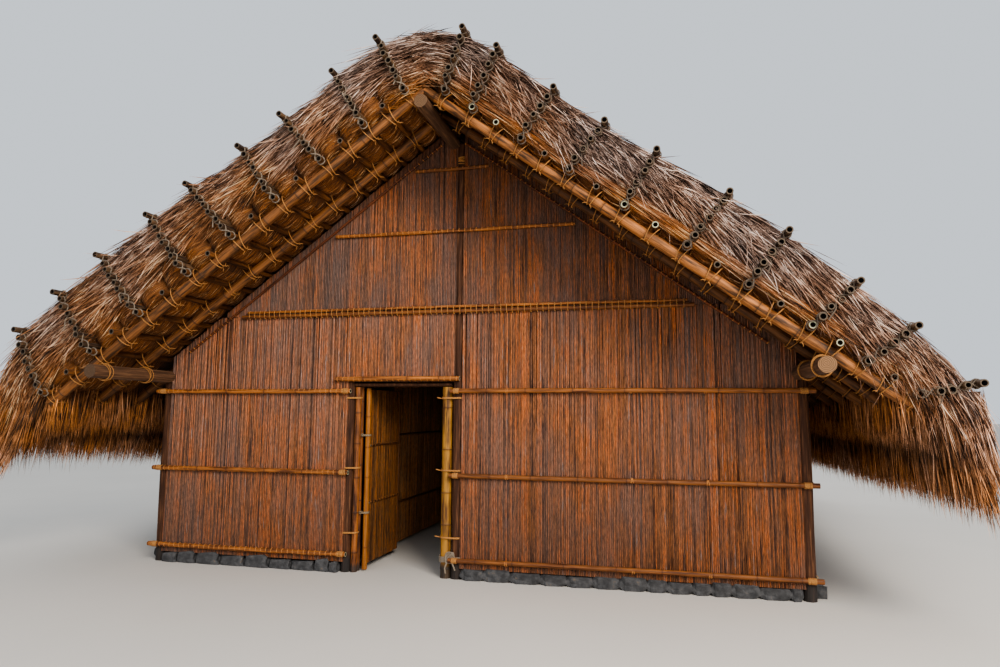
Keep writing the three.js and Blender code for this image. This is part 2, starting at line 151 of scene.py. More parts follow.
class HouseColours(bpy.types.PropertyGroup):
    """Colours of the finishes."""

    cane: colour("Cane", "Sunlit cane", "8c5a37")
    cane_grey: colour("Weathered cane", "Cane that has gone grey-brown", "6c5850")
    cane_dark: colour("Smoked cane", "Dark cane near the roof", "3c2013")
    bamboo: colour("Bamboo", "Skin of bamboo poles", "8c6034")
    bamboo_dark: colour("Aged bamboo", "Stains on bamboo poles", "422715")
    yellow: colour("Yellow bamboo", "Skin of the door's bamboo", "a87830")
    rattan: colour("Rattan", "Split rattan of lashings", "b07c44")
    rope: colour("Rope", "Twisted rope of the ties", "857868")
    timber: colour("Timber", "Dark round timber posts", "442a1b")
    log: colour("Log", "Peeled logs", "573c28")
    log_end: colour("Log end", "Sawn ends of the logs", "76573a")
    thatch_grey: colour("Weathered thatch", "Straw that sun and rain have bleached", "7e6a5f")
    thatch_orange: colour("Sheltered thatch", "Straw under the verge and in the fringe", "98602e")
    thatch_dark: colour("Shaded thatch", "Rotten and shaded straw", "24150c")
    reed: colour("Reed", "Reeds of the door", "7c5228")
    stone: colour("Stone", "Field stones under the walls", "3a3a3b")
    floor: colour("Floor", "Studio floor", "cfcac2")


def walls():
    return bpy.context.scene.house_walls


def roof():
    return bpy.context.scene.house_roof


def colours():
    return bpy.context.scene.house_colours


# Node trees

MATH, VECTORS, RANGE, MIX, NOISE, RAMP, FACT, PLACE, JOINED, SPLIT = ("ShaderNode" + kind for kind in (
    "Math", "VectorMath", "MapRange", "Mix", "TexNoise", "ValToRGB", "Attribute", "TexCoord", "CombineXYZ",
    "SeparateXYZ"))
STORE, ON_POINTS, MOVED, FIELD, CIRCLE = ("GeometryNode" + kind for kind in (
    "StoreNamedAttribute", "InstanceOnPoints", "SetPosition", "InputNamedAttribute", "CurvePrimitiveCircle"))
LUCK, TURN, FACING = ("FunctionNode" + kind for kind in (
    "RandomValue", "EulerToRotation", "AlignRotationToVector"))
MIXED = {"data_type": "RGBA", "out": 2}
MULTIPLIED = {**MIXED, "blend_type": "MULTIPLY"}
TIMES, PLUS, MINUS = ({"operation": word} for word in ("MULTIPLY", "ADD", "SUBTRACT"))
VECTOR = {"data_type": "FLOAT_VECTOR"}


def node(tree, kind, links=(), stops=(), out=0, **settings):
    """Adds a node and gives one of its outputs. links maps an input's number or name to a value, an output or
    a list of outputs, or fills the inputs in order. Stops are the places and colours of a colour ramp."""
    made = tree.nodes.new(kind)
    for key, value in settings.items():
        setattr(made, key, value)
    for key, given in links.items() if isinstance(links, dict) else enumerate(links):
        for value in given if isinstance(given, list) else [given]:
            if isinstance(value, bpy.types.NodeSocket):
                tree.links.new(value, made.inputs[key])
            else:
                made.inputs[key].default_value = value
    for i, (place, shade) in enumerate(stops):
        elements = made.color_ramp.elements
        stop = elements[i] if i < 2 else elements.new(place)
        stop.position, stop.color = place, (*linear(shade), 1)
    return made.outputs[out] if made.outputs else None


def finish(usual):
    """Turns a function that builds nodes into a finish, which gives the material of a name and builds it the
    first time. The usual name is the one that most pieces ask for. The function returns the colour, a height
    field, how strong and how deep its relief is, the roughness and, where it isn't usual, how shiny it is."""

    def wrap(build):
        def material(name=usual, *facts):
            made = bpy.data.materials.get(name)
            if made is None:
                made = bpy.data.materials.new(name)
                made.use_nodes = True
                made.node_tree.nodes.clear()
                add = partial(node, made.node_tree)
                shade, height, bump, distance, roughness, *shine = build(add, *facts)
                raised = add("ShaderNodeBump", {"Height": height, "Strength": bump, "Distance": distance})
                add("ShaderNodeOutputMaterial", {"Surface": add("ShaderNodeBsdfPrincipled", {
                    "Base Color": shade, "Normal": raised, "Roughness": roughness,
                    "Specular IOR Level": shine[0] if shine else 0.5})})
            return made

        return material

    return wrap


def fibres(add, vector, scale, detail=3.0):
    """Noise drawn out along one axis, for grain and fibres."""
    stretched = add("ShaderNodeMapping", {"Vector": vector, "Scale": scale})
    return add(NOISE, {"Vector": stretched, "Scale": 1.0, "Detail": detail, "Roughness": 0.6})


def shifted(add, vector=None, step=37.0):
    """The place, moved by the piece's own tone, so that no two canes or poles look alike."""
    shift = add(MATH, [add(FACT, attribute_name="tone", out="Fac"), step], **TIMES)
    apart = add(JOINED, [shift, shift, shift])
    return add(VECTORS, [vector or add(PLACE, out="Object"), apart], **PLUS)


def earthed(add, shade, top, bottom):
    """The colour, stained by earth below a height that runs from top to bottom."""
    up = add(SPLIT, [add(PLACE, out="Object")], out=2)
    damp = add(RANGE, [up, top, bottom, 0, 0.85])
    return add(MIX, {0: damp, 6: shade, 7: (*linear("2b2a29"), 1)}, **MIXED)


@finish("river cane, sun-dried")
def cane(add, sunlit, grey, dark, greying):
    """Split river cane, sun-dried with its skin on: satin, each cane in its own brown that shifts along
    its length, with grey weathered patches over several canes, painted shade on the flanks in the gaps
    between them, and darker towards the foot."""
    tone, crest = (add(FACT, attribute_name=name, out="Fac") for name in ("tone", "crest"))
    place, where = add(PLACE, out="Object"), shifted(add)
    streak = fibres(add, where, (340, 340, 24))
    blotch = fibres(add, where, (60, 60, 5), 4.0)
    own_tone = add(RANGE, [tone, 0, 1, 0.2, 0.84])
    drift = add(RANGE, [blotch, 0.3, 0.7, -0.36, 0.36])
    value = add(MATH, [own_tone, drift], **PLUS, use_clamp=True)
    redder = tuple(c * k for c, k in zip(linear(sunlit), (1.6, 1.15, 0.8)))
    own = add(RAMP, [value], [
        (0, times(dark, 0.8)), (0.1, dark), (0.32, times(sunlit, 0.6)), (0.58, sunlit), (0.78, redder),
        (0.9, times(sunlit, 1.3)), (1, times(grey, 1.6))])
    patch = add(RANGE, [fibres(add, place, (3.5, 3.5, 1.1), 5.0), 0.4, 0.64, 0, greying])
    weathered = add(MIX, {0: patch, 6: own, 7: (*linear(grey), 1)}, **MIXED)
    depth = add(RANGE, [streak, 0.34, 0.66, 0.28, 1.6])
    # Painted shade: each cane's flanks, where it meets its neighbours, are darkened as the gaps between
    # canes.
    gap = add(RANGE, [crest, 0.35, 0.85, 0.3, 1.06])
    # Darker towards the foot of the wall.
    darker_foot = add(RANGE, [add(SPLIT, [place], out=2), 0.3, 1.5, 0.72, 1])
    gap_shade_and_darker_foot = add(MATH, [gap, darker_foot], **TIMES)
    lit = add(MATH, [depth, gap_shade_and_darker_foot], **TIMES)
    shade = add(MIX, {0: 1, 6: weathered, 7: lit}, **MULTIPLIED)
    return shade, streak, 0.5, 0.003, 0.55, 0.35


@finish("bamboo, sun-cured")
def culm(add, light, stain, blotch, gloss, foot):
    """Whole bamboo with its waxy skin: satin, long fine fibres, a dark line at each node, and stains where
    damp has got in. Foot is the height in metres up to which earth has greyed it."""
    tone, mark = (add(FACT, attribute_name=name, out="Fac") for name in ("tone", "mark"))
    flat = shifted(add, add("ShaderNodeUVMap", uv_map="UVMap"))
    streak = fibres(add, flat, (190, 3.5, 1), 4.0)
    spots = fibres(add, flat, (26, 3.2, 1), 6.0)
    aged = add(RANGE, [spots, 0.42, 0.66, 0, blotch * 1.8])
    own = add(RAMP, [tone], [(0, times(light, 0.6)), (0.5, light), (1, times(light, 1.25))])
    stained = add(MIX, {0: aged, 6: own, 7: (*linear(stain), 1)}, **MIXED)
    depth = add(RANGE, [streak, 0.3, 0.7, 0.35, 1.45])
    fibrous = add(MIX, {0: 1, 6: stained, 7: depth}, **MULTIPLIED)
    shade = add(MIX, {0: mark, 6: fibrous, 7: (*times(stain, 0.8), 1)}, **MIXED)
    return earthed(add, shade, foot, foot - 0.04), streak, 0.45, 0.003, gloss, 0.35


@finish("bamboo, sawn rim")
def cut(add, scale=420, low="7c7a62", high="b2b295", roughness=0.8, bump=0.3):
    """A sawn culm: its rim is fibrous and matt, and its inside a near-black brown, painted shade that reads
    as a dark hole.
    """
    grain = fibres(add, add(PLACE, out="Object"), (scale, scale, scale))
    shade = add(RAMP, [grain], [(0.3, low), (0.7, high)])
    return shade, grain, bump, 0.002, roughness


@finish("hardwood, peeled and smoke-darkened")
def timber(add):
    """Round hardwood poles, hand-peeled and smoke-darkened: nearly black brown, cracked along the grain,
    with grey weathering and an earth-stained foot."""
    dark, where = colours().timber, shifted(add)
    grain = fibres(add, where, (55, 55, 3.5), 5.0)
    cracks = fibres(add, where, (26, 26, 1.2), 6.0)
    wood = add(RAMP, [grain], [(0.3, times(dark, 0.4)), (0.52, dark), (0.66, "64432c"), (0.8, "80664e")])
    height = add(MATH, [grain, cracks], operation="MINIMUM")
    return earthed(add, wood, 0.2, 0.12), height, 0.8, 0.012, 0.78, 0.25


@finish("softwood, peeled log")
def log_side(add):
    """Peeled softwood logs: weathered brown with drying cracks along the grain."""
    base = colours().log
    grain = fibres(add, shifted(add), (50, 2.5, 50), 5.0)
    shade = add(RAMP, [grain], [(0.25, times(base, 0.35)), (0.5, base), (0.75, "8a6646")])
    return shade, grain, 0.7, 0.01, 0.75


@finish("softwood, sawn end")
def log_end(add):
    """The sawn end of a log: pale and matt, with fine relief along the year rings, which are drawn coarser
    than real ones so that they show."""
    base, flat = colours().log_end, add("ShaderNodeUVMap", uv_map="UVMap")
    wobble = add(NOISE, {"Vector": flat, "Scale": 18.0, "Detail": 2.0}, out="Color")
    spread = add(VECTORS, [wobble, (0.018, 0.018, 0)], **TIMES)
    moved = add(VECTORS, [flat, spread], **PLUS)
    rings = add("ShaderNodeTexWave", {"Vector": moved, "Scale": 26.0, "Distortion": 0.6, "Detail": 2.0},
                out="Fac", wave_type="RINGS", rings_direction="Z")
    shade = add(RAMP, [rings], [(0.1, times(base, 0.42)), (0.55, base), (1, times(base, 1.2))])
    # Painted light and shade: each log's tone darkens or brightens its sawn end, darkest on the left wall
    # plate, which lies in shade, palest on the right one.
    painted_light_and_shade = add(RANGE, [add(FACT, attribute_name="tone", out="Fac"), 0.2, 0.9, 0.42, 1.1])
    aged = add(MIX, {0: 1, 6: shade, 7: painted_light_and_shade}, **MULTIPLIED)
    return aged, rings, 0.4, 0.004, 0.85


@finish("rattan, split by hand")
def strand(add, base, ply):
    """Split rattan or hand-laid rope: matt fibres that twist along the strand."""
    twist = add("ShaderNodeTexWave", {
        "Vector": shifted(add), "Scale": ply, "Distortion": 3.0, "Detail": 3.0, "Detail Scale": 2.0},
        out="Fac", bands_direction="DIAGONAL")
    shade = add(RAMP, [twist], [(0, times(base, 0.4)), (0.6, base), (1, times(base, 1.3))])
    return shade, twist, 0.5, 0.003, 0.8


@finish("grass thatch, packed bundles")
def packed(add, grain=(110, 60, 3.2), sheltered=(0.5, 0.3, 0.7)):
    """Packed bundles under the loose straws: painted shade between the stalks, with fine stalks down the
    slope, and painted shade at the top of each course, under the ends of the course above. Sheltered are how
    bright the gaps, the stalks and the palest stalks are out of the weather."""
    palette = colours()
    grey, orange, dark = palette.thatch_grey, palette.thatch_orange, palette.thatch_dark
    across, depth, down = (add(FACT, attribute_name=name, out="Fac") for name in ("across", "depth", "down"))
    along = add(JOINED, [across, depth, down])
    stalks, tufts = fibres(add, along, grain, 5.0), fibres(add, along, (5, 8, 1.5), 4.0)
    # The darkest stops paint the shade in the gaps between the stalks.
    outer = add(RAMP, [stalks], [(0.32, times(dark, 0.7)), (0.45, times(grey, 0.42)),
                                 (0.56, times(grey, 0.95)), (0.68, times(grey, 1.7))])
    stops = zip((0.35, 0.52, 0.68), (dark, orange, orange), sheltered)
    inner = add(RAMP, [stalks], [(place, times(shade, k)) for place, shade, k in stops])
    mixed = add(MIX, {0: depth, 6: inner, 7: outer}, **MIXED)
    # Painted shade at the top of each course, under the ends of the course above.
    course = add(MATH, [add(MATH, [down, COURSE], operation="DIVIDE")], operation="FRACT")
    painted_course_shade = add(RANGE, [course, 0.02, 0.4, 0.5, 1])
    light = add(RANGE, [tufts, 0.3, 0.7, 0.6, 1.25])
    tiered = add(MATH, [light, painted_course_shade], **TIMES)
    shade = add(MIX, {0: 1, 6: mixed, 7: tiered}, **MULTIPLIED)
    return shade, stalks, 1.0, 0.02, 0.9


def clear_of_shadow_and_soot(add, where):
    """1 where a straw is clean and lit, and less where the painted shadow of the inner tier and soot darken
    it: on the outer tier of the fringe, just below the edge of the inner tier. This sets the two tiers apart."""
    x, y, z = add(SPLIT, [where]).node.outputs
    away, along = (add(MATH, [part], operation="ABSOLUTE") for part in (x, y))
    behind, beyond, above, under, inside = (add(RANGE, limits) for limits in (
        [away, 3.86, 3.93, 0, 1], [away, 3.99, 4.07, 1, 0], [z, 1.06, 1.27, 0, 1], [z, 1.6, 1.72, 1, 0],
        [along, 4.4, 4.62, 1, 0]))
    cross = add(MATH, [behind, beyond], **TIMES)
    flat = add(MATH, [cross, inside], **TIMES)
    tall = add(MATH, [above, under], **TIMES)
    # Painted shadow and soot, strongest in the band just below the inner tier.
    shadowed_and_sooty = add(MATH, [flat, tall], **TIMES)
    return add(RANGE, [shadowed_and_sooty, 0, 1, 1, 0.4])


@finish("sword grass, loose stalks")
def stalk(add, orange=None, hanging=False, blotch=0.2):
    """Stalks of sword grass: each has its own tan, orange or grey, paler where the weather gets at it."""
    palette = colours()
    grey, dark, warm = palette.thatch_grey, palette.thatch_dark, orange or palette.thatch_orange
    tone, depth = (add(FACT, attribute_name=name, out="Fac") for name in ("tone", "depth"))
    where = add(PLACE, out="Object")
    bundle = add(NOISE, {"Vector": where, "Scale": 9.0, "Detail": 3.0})
    bleach = add(RANGE, [bundle, 0.32, 0.68, -blotch, blotch])
    value = add(MATH, [tone, bleach], **PLUS, use_clamp=True)
    weathered = add(RAMP, [value], [
        (0, times(dark, 0.6)), (0.24, "3a2218"), (0.5, times(grey, 0.66)), (0.7, times(grey, 1.4)),
        (0.86, times(grey, 2.6)), (1, "dccbc2")])
    sheltered = add(RAMP, [value], [
        (0, times(dark, 0.8)), (0.22, times(warm, 0.34)), (0.5, times(warm, 0.9)), (0.8, times(warm, 1.4)),
        (1, times(warm, 2) if hanging else "dcb684")])
    patch = add(NOISE, {"Vector": where, "Scale": 1.7, "Detail": 3.0})
    spread = add(RANGE, [patch, 0.3, 0.7, -0.35, 0.35])
    share = add(MATH, [depth, spread], **PLUS, use_clamp=True)
    mixed = add(MIX, {0: share, 6: sheltered, 7: weathered}, **MIXED)
    stripe = fibres(add, where, (60, 60, 60), 2.0)
    light = add(RANGE, [stripe, 0.3, 0.7, 0.75, 1.2])
    # Hanging stalks get the painted shadow and soot below the inner tier's edge.
    lit = add(MATH, [light, clear_of_shadow_and_soot(add, where) if hanging else 1], **TIMES)
    shade = add(MIX, {0: 1, 6: mixed, 7: lit}, **MULTIPLIED)
    return shade, stripe, 0.2, 0.002, 0.7, 0.3


@finish("field stone, dry set")
def rubble(add):
    """Broken field stones set dry: dark grey with ochre clay on them, rough and pitted."""
    base, where = colours().stone, shifted(add, step=11.0)
    spots = add(NOISE, {"Vector": where, "Scale": 16.0, "Detail": 6.0, "Roughness": 0.65})
    pits = add(NOISE, {"Vector": where, "Scale": 70.0, "Detail": 4.0})
    shade = add(RAMP, [spots], [(0.28, times(base, 0.5)), (0.46, base), (0.62, "4c4c4d"), (0.76, "72604c")])
    return shade, pits, 0.5, 0.01, 0.88


@finish("studio floor, painted")
def painted_floor(add):
    """Pale studio floor: matt, with a trace of unevenness."""
    base = colours().floor
    cloud = add(NOISE, {"Vector": add(PLACE, out="Object"), "Scale": 0.4, "Detail": 4.0})
    shade = add(RAMP, [cloud], [(0.3, times(base, 0.94)), (0.7, base)])
    return shade, cloud, 0.05, 0.01, 0.9


def house_cane(smoked=False):
    palette = colours()
    # A darker copy of the cane for the gables: painted shade under the roof's overhang.
    if smoked:
        return cane("river cane, smoke-darkened", times(palette.cane, 0.8), times(palette.cane_grey, 0.7),
                    palette.cane_dark, 0.8)
    return cane("river cane, sun-dried", palette.cane, palette.cane_grey, palette.cane_dark, 0.55)


def pole_finishes(name, light, stain, blotch, foot=0.0, gloss=0.62):
    """Skin, sawn rim, hollow inside in painted shade, and greyed rim of bamboo poles."""
    return [culm(name, light, stain, blotch, gloss, foot), cut(),
            cut("bamboo, hollow inside", 90, "0d0805", "24170d", 0.95, 0.2),
            cut("bamboo, grey sawn rim", 420, "30261d", "665744")]


def lashing():
    return strand("rattan, split by hand", colours().rattan, 90.0)


def bast(rained=False):
    if rained:
        return strand("bast rope, darkened by rain", "64574a", 70.0)
    return strand("bast rope, hand-laid and grey", colours().rope, 70.0)


# Meshes in code


class Shape:
    """Gathers the points, faces, UVs and tones of one piece."""

    def __init__(self):
        self.points, self.faces, self.uvs, self.kinds, self.tones, self.marks = [], [], [], [], [], []

    def ring(self, points, tone=0.5, mark=0.0):
        first = len(self.points)
        self.points += [tuple(p) for p in points]
        self.tones += [tone] * len(points)
        self.marks += [mark] * len(points)
        return list(range(first, first + len(points)))

    def face(self, corners, uvs, kind=0):
        self.faces.append(corners)
        self.uvs += [n for uv in uvs for n in uv]
        self.kinds.append(kind)

    def skin(self, a, b, va, vb, around, kind=0):
        """Quads between two rings of the same length, seen from outside."""
        count = len(a)
        for j in range(count):
            k = (j + 1) % count
            u, w = around * j / count, around * (j + 1) / count
            self.face([a[j], a[k], b[k], b[j]], [(u, va), (w, va), (w, vb), (u, vb)], kind)

    def piece(self, name, materials, smooth=50):
        mesh = bpy.data.meshes.new(name)
        mesh.from_pydata(self.points, [], self.faces)
        for made in materials:
            mesh.materials.append(made)
        mesh.polygons.foreach_set("material_index", self.kinds)
        mesh.uv_layers.new(name="UVMap").data.foreach_set("uv", self.uvs)
        marked(mesh, tone=self.tones, mark=self.marks)
        return stand(name, mesh, smooth)


def marked(mesh, **facts):
    """Stores numbers, or vectors in one flat list, at the points of a mesh."""
    for label, values in facts.items():
        wide = len(values) > len(mesh.vertices)
        kind, key = ("FLOAT_VECTOR", "vector") if wide else ("FLOAT", "value")
        mesh.attributes.new(label, kind, "POINT").data.foreach_set(key, values)
    return mesh


def stand(name, mesh, smooth=50):
    """Puts a mesh into the scene as an object at the origin, smooth between its sharp edges."""
    mesh.update()
    if smooth:
        mesh.shade_smooth()
        mesh.set_sharp_from_angle(angle=radians(smooth))
    made = bpy.data.objects.new(name, mesh)
    bpy.context.scene.collection.objects.link(made)
    return made


def settle(piece, slot, nodes=(), body="house"):
    """Hands a finished piece to the frame."""
    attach(piece, body)
    if nodes:
        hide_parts(*nodes)


def turns(count, full=2 * pi):
    """Angles from 0 to full in equal steps, both ends included."""
    return [full * j / count for j in range(count + 1)]


def circle(centre, side, up, radius, sides):
    return [centre + (side * cos(a) + up * sin(a)) * radius for a in turns(sides)[:-1]]


def tube(shape, path, radii, sides=10, tone=0.5, marks=None, ends=("flat", "flat"), kinds=(0, 1, 2)):
    """A tube along a path. An end is flat, open (a hollow culm) or point."""
    path = [Vector(p) for p in path]
    radii = [radii] * len(path) if isinstance(radii, (int, float)) else radii
    marks = marks or [0.0] * len(path)
    along = (path[1] - path[0]).normalized()
    side = along.cross(Vector((0, 0, 1)) if abs(along.z) < 0.9 else Vector((0, 1, 0))).normalized()
    around = 2 * pi * max(radii)
    rings, run, last = [], 0.0, len(path) - 1
    for i, centre in enumerate(path):
        along = (path[min(i + 1, last)] - path[max(i - 1, 0)]).normalized()
        side = (side - along * side.dot(along)).normalized()
        up = along.cross(side)
        if i:
            run += (centre - path[i - 1]).length
        rings.append((shape.ring(circle(centre, side, up, radii[i], sides), tone, marks[i]), run))
        if i in (0, last):
            close_end(shape, ends[i == last], rings[-1][0], centre, side, up, along if i else -along,
                      radii[i], tone, kinds, i == 0)
    for (a, va), (b, vb) in zip(rings, rings[1:]):
        shape.skin(a, b, va, vb, around, kinds[0])


def close_end(shape, cap, ring, centre, side, up, out, radius, tone, kinds, flip):
    """Closes one end of a tube."""
    sides = len(ring)

    def turned(corners, uvs, kind):
        shape.face(corners[::-1] if flip else corners, uvs[::-1] if flip else uvs, kind)

    def disc(edge, middle, reach, kind):
        heart = shape.ring([middle], tone)[0]
        rim = [(reach * cos(a), reach * sin(a)) for a in turns(sides)]
        for j in range(sides):
            turned([heart, edge[j], edge[(j + 1) % sides]], [(0, 0), rim[j], rim[j + 1]], kind)

    if cap == "open":
        rim_uvs = [(0, 0), (0.01, 0), (0.01, 0.01), (0, 0.01)]
        rim = shape.ring(circle(centre, side, up, radius * 0.68, sides), tone)
        deep = shape.ring(circle(centre - out * 0.07, side, up, radius * 0.6, sides), tone)
        for edge, inner, kind in ((ring, rim, kinds[1]), (rim, deep, kinds[2])):
            for j in range(sides):
                k = (j + 1) % sides
                turned([edge[j], edge[k], inner[k], inner[j]], rim_uvs, kind)
        disc(deep, centre - out * 0.07, radius, kinds[2])
    elif cap == "point":
        disc(ring, centre + out * radius * 1.5, radius, kinds[0])
    else:
        disc(ring, centre, radius, kinds[1])


def bamboo(shape, start, end, radius, seed, sides=12, ends=("open", "open"), bow=0.004, end_radius=None,
           step=None, rim=1):
    """A bamboo pole: a little bowed, with a raised ring at each node."""
    luck = random.Random(seed)
    start, end = Vector(start), Vector(end)
    length = (end - start).length
    along = (end - start) / length
    step = step or walls().internode
    # Each station is its distance from the start, how wide the pole is there and how dark
    stations, at = [(0.0, 1.0, 0.0)], luck.uniform(0.08, step)
    while at < length - 0.05:
        stations += [(at - 0.02, 0.985, 0.0), (at - 0.006, 1.03, 0.25), (at, 1.075, 1.0),
                     (at + 0.006, 1.0, 0.35), (at + 0.025, 0.985, 0.0)]
        at += step * luck.uniform(0.8, 1.2)
    stations.append((length, 1.0, 0.0))
    drift = Vector([luck.uniform(-1, 1) for _ in range(3)])
    drift = (drift - along * drift.dot(along)).normalized() * bow
    thin = (end_radius or radius) / radius
    path = [start + along * s + drift * sin(pi * s / length) for s, _, _ in stations]
    radii = [radius * swell * (1 + (thin - 1) * s / length) for s, swell, _ in stations]
    tube(shape, path, radii, sides, luck.random(), [m for _, _, m in stations], ends, (0, rim, 2))


def bar(shape, start, end, radius, tone, sides, rough, step, end_radius=None, seed=0):
    """A solid round timber with an uneven surface."""
    start, end = Vector(start), Vector(end)
    count = max(2, int((end - start).length / step))
    first, last = len(shape.points), end_radius or radius
    path = [start.lerp(end, i / count) for i in range(count + 1)]
    tube(shape, path, [radius + (last - radius) * i / count for i in range(count + 1)], sides, tone)
    axis = (end - start).normalized()
    for n in range(first, len(shape.points)):
        p = Vector(shape.points[n])
        out = (p - start) - axis * (p - start).dot(axis)
        if out.length > radius * 0.5:
            k = noise.noise(Vector((p.x * 9 + seed, p.y * 9, p.z * 1.6 if abs(axis.z) > 0.5 else p.z * 9)))
            shape.points[n] = tuple(p + out.normalized() * (k * rough - rough * 0.4))


# Geometry Nodes


def field(name, **inputs):
    """Turns a function that builds nodes into a geometry tree with these inputs, each a default value or a
    socket's kind. It gets the geometry that the function returns, makes it real and gives it its material."""

    def wrap(build):
        def tree():
            made = bpy.data.node_groups.get(name)
            if made is None:
                made = bpy.data.node_groups.new(name, "GeometryNodeTree")
                for label, default in {"Geometry": "Geometry", **inputs, "Material": "Material"}.items():
                    kind = {float: "Float", int: "Int"}.get(type(default), default)
                    socket = made.interface.new_socket(label.replace("_", " "), in_out="INPUT",
                                                       socket_type="NodeSocket" + kind)
                    if kind != default:
                        socket.default_value = default
                made.interface.new_socket("Geometry", in_out="OUTPUT", socket_type="NodeSocketGeometry")
                add = partial(node, made)
                given = add("NodeGroupInput").node.outputs
                real = add("GeometryNodeRealizeInstances", [build(add, given)])
                dressed = add("GeometryNodeSetMaterial", {"Geometry": real, "Material": given["Material"]})
                add("NodeGroupOutput", [dressed])
            return made

        return tree

    return wrap


def grow(name, tree, base, values, smooth=50, turn=None):
    """Runs the tree on a base mesh and returns what it makes as a plain mesh object."""
    piece = bpy.data.objects.new(name, base or bpy.data.meshes.new(name))
    modifier = piece.modifiers.new(name, "NODES")
    modifier.node_group = tree()
    sockets = {s.name: s.identifier for s in modifier.node_group.interface.items_tree if s.in_out == "INPUT"}
    for label, value in values.items():
        modifier[sockets[label]] = value
    bpy.context.scene.collection.objects.link(piece)
    graph = bpy.context.evaluated_depsgraph_get()
    mesh = bpy.data.meshes.new_from_object(piece.evaluated_get(graph), preserve_all_data_layers=True,
                                           depsgraph=graph)
    bpy.data.objects.remove(piece)
    if not mesh.polygons:
        raise RuntimeError(f"{name} came out empty")
    if turn is not None:
        mesh.transform(turn)
    return stand(name, mesh, smooth)


def toned(add, geometry, seed, domain="INSTANCE", least=0.0):
    """Gives each copy a tone of its own, from least to 1."""
    tone = add(LUCK, {2: least, 3: 1.0, "Seed": seed}, out=1)
    return add(STORE, {"Geometry": geometry, "Name": "tone", "Value": tone}, domain=domain)


def wander(add, scale, detail):
    """A vector that wanders with the place, about zero."""
    cloud = add(NOISE, {"Scale": scale, "Detail": detail}, out="Color")
    return add(VECTORS, [cloud, (0.5, 0.5, 0.5)], **MINUS)


@field("cane row", From=-1.0, To=1.0, Foot=0.0, Cap=2.0, Peak=9.0, Slope=0.0, Cane_width=0.013, Depth=0.03,
       Sides=8, Pieces=5, Seed=0)
def cane_row(add, given):
    """A row of upright canes between two places, cut off along a roof line, and a second row in its gaps."""
    width = given["Cane width"]
    span = add(MATH, [given["To"], given["From"]], **MINUS)
    count = add(MATH, [span, width], operation="DIVIDE")
    start, stop = (add(JOINED, {"X": given[end], "Z": given["Foot"]}) for end in ("From", "To"))
    line = add("GeometryNodeMeshLine", {
        "Count": add(MATH, [count], operation="CEIL"), 2: start, 3: stop}, mode="END_POINTS")
    x, y, _ = add(SPLIT, [add("GeometryNodeInputPosition")]).node.outputs
    away = add(MATH, [x], operation="ABSOLUTE")
    fall = add(MATH, [away, given["Slope"]], **TIMES)
    roof_line = add(MATH, [given["Peak"], fall], **MINUS)
    top = add(MATH, [roof_line, given["Cap"]], operation="MINIMUM")
    uneven = add(LUCK, {2: 0.0, 3: 0.008, "Seed": 3}, out=1)
    ragged = add(MATH, [top, uneven], **MINUS)
    height = add(MATH, [ragged, given["Foot"]], **MINUS)
    short = add("FunctionNodeCompare", [height, 0.03], operation="LESS_THAN")
    kept = add("GeometryNodeDeleteGeometry", {"Geometry": line, "Selection": short})
    shake = add(LUCK, {0: (-0.0015, -0.002, 0), 1: (0.0015, 0.002, 0), "Seed": 4}, **VECTOR)
    shaken = add(MOVED, {"Geometry": kept, "Offset": shake})
    half = add(MATH, [width, 0.5], **TIMES)
    between = add(MOVED, {"Geometry": kept, "Offset": add(JOINED, [half])})
    bulge = add(MATH, [y], operation="ABSOLUTE")
    crest = add(MATH, [bulge, 2.0], **TIMES)
    shallow = add(MATH, [given["Depth"], 0.72], **TIMES)
    rows = []
    for points, sides, pieces, ridge, depth, (least, most, seed), lean in (
            (shaken, given["Sides"], given["Pieces"], crest, given["Depth"], (0.98, 1.25, 5), 0.006),
            (between, 6, 1, 0.6, shallow, (1.1, 1.5, 7), 0.003)):
        reed = add("GeometryNodeMeshCylinder", {
            "Vertices": sides, "Side Segments": pieces, "Radius": 0.5, "Depth": 1.0})
        # Crest is 1 on a cane's face and less on its flanks, where the cane finish paints the shade of the
        # gaps between canes.
        dust_and_gap_shade = add(STORE, {"Geometry": reed, "Name": "crest", "Value": ridge})
        upright = add("GeometryNodeTransform", {"Geometry": dust_and_gap_shade, "Translation": (0, 0, 0.5)})
        share = add(LUCK, {2: least, 3: most, "Seed": seed}, out=1)
        wide = add(MATH, [width, share], **TIMES)
        leaning = add(LUCK, {0: (0, -lean, 0), 1: (0, lean, 0), "Seed": seed + 1}, **VECTOR)
        rows.append(add(ON_POINTS, {
            "Points": points, "Instance": upright, "Rotation": add(TURN, [leaning]),
            "Scale": add(JOINED, [wide, depth, height])}))
    both = add("GeometryNodeJoinGeometry", [rows])
    real = add("GeometryNodeRealizeInstances", [toned(add, both, given["Seed"])])
    sway = add(VECTORS, [wander(add, 2.2, 2.0), (0.012, 0.008, 0)], **TIMES)
    return add(MOVED, {"Geometry": real, "Offset": sway})


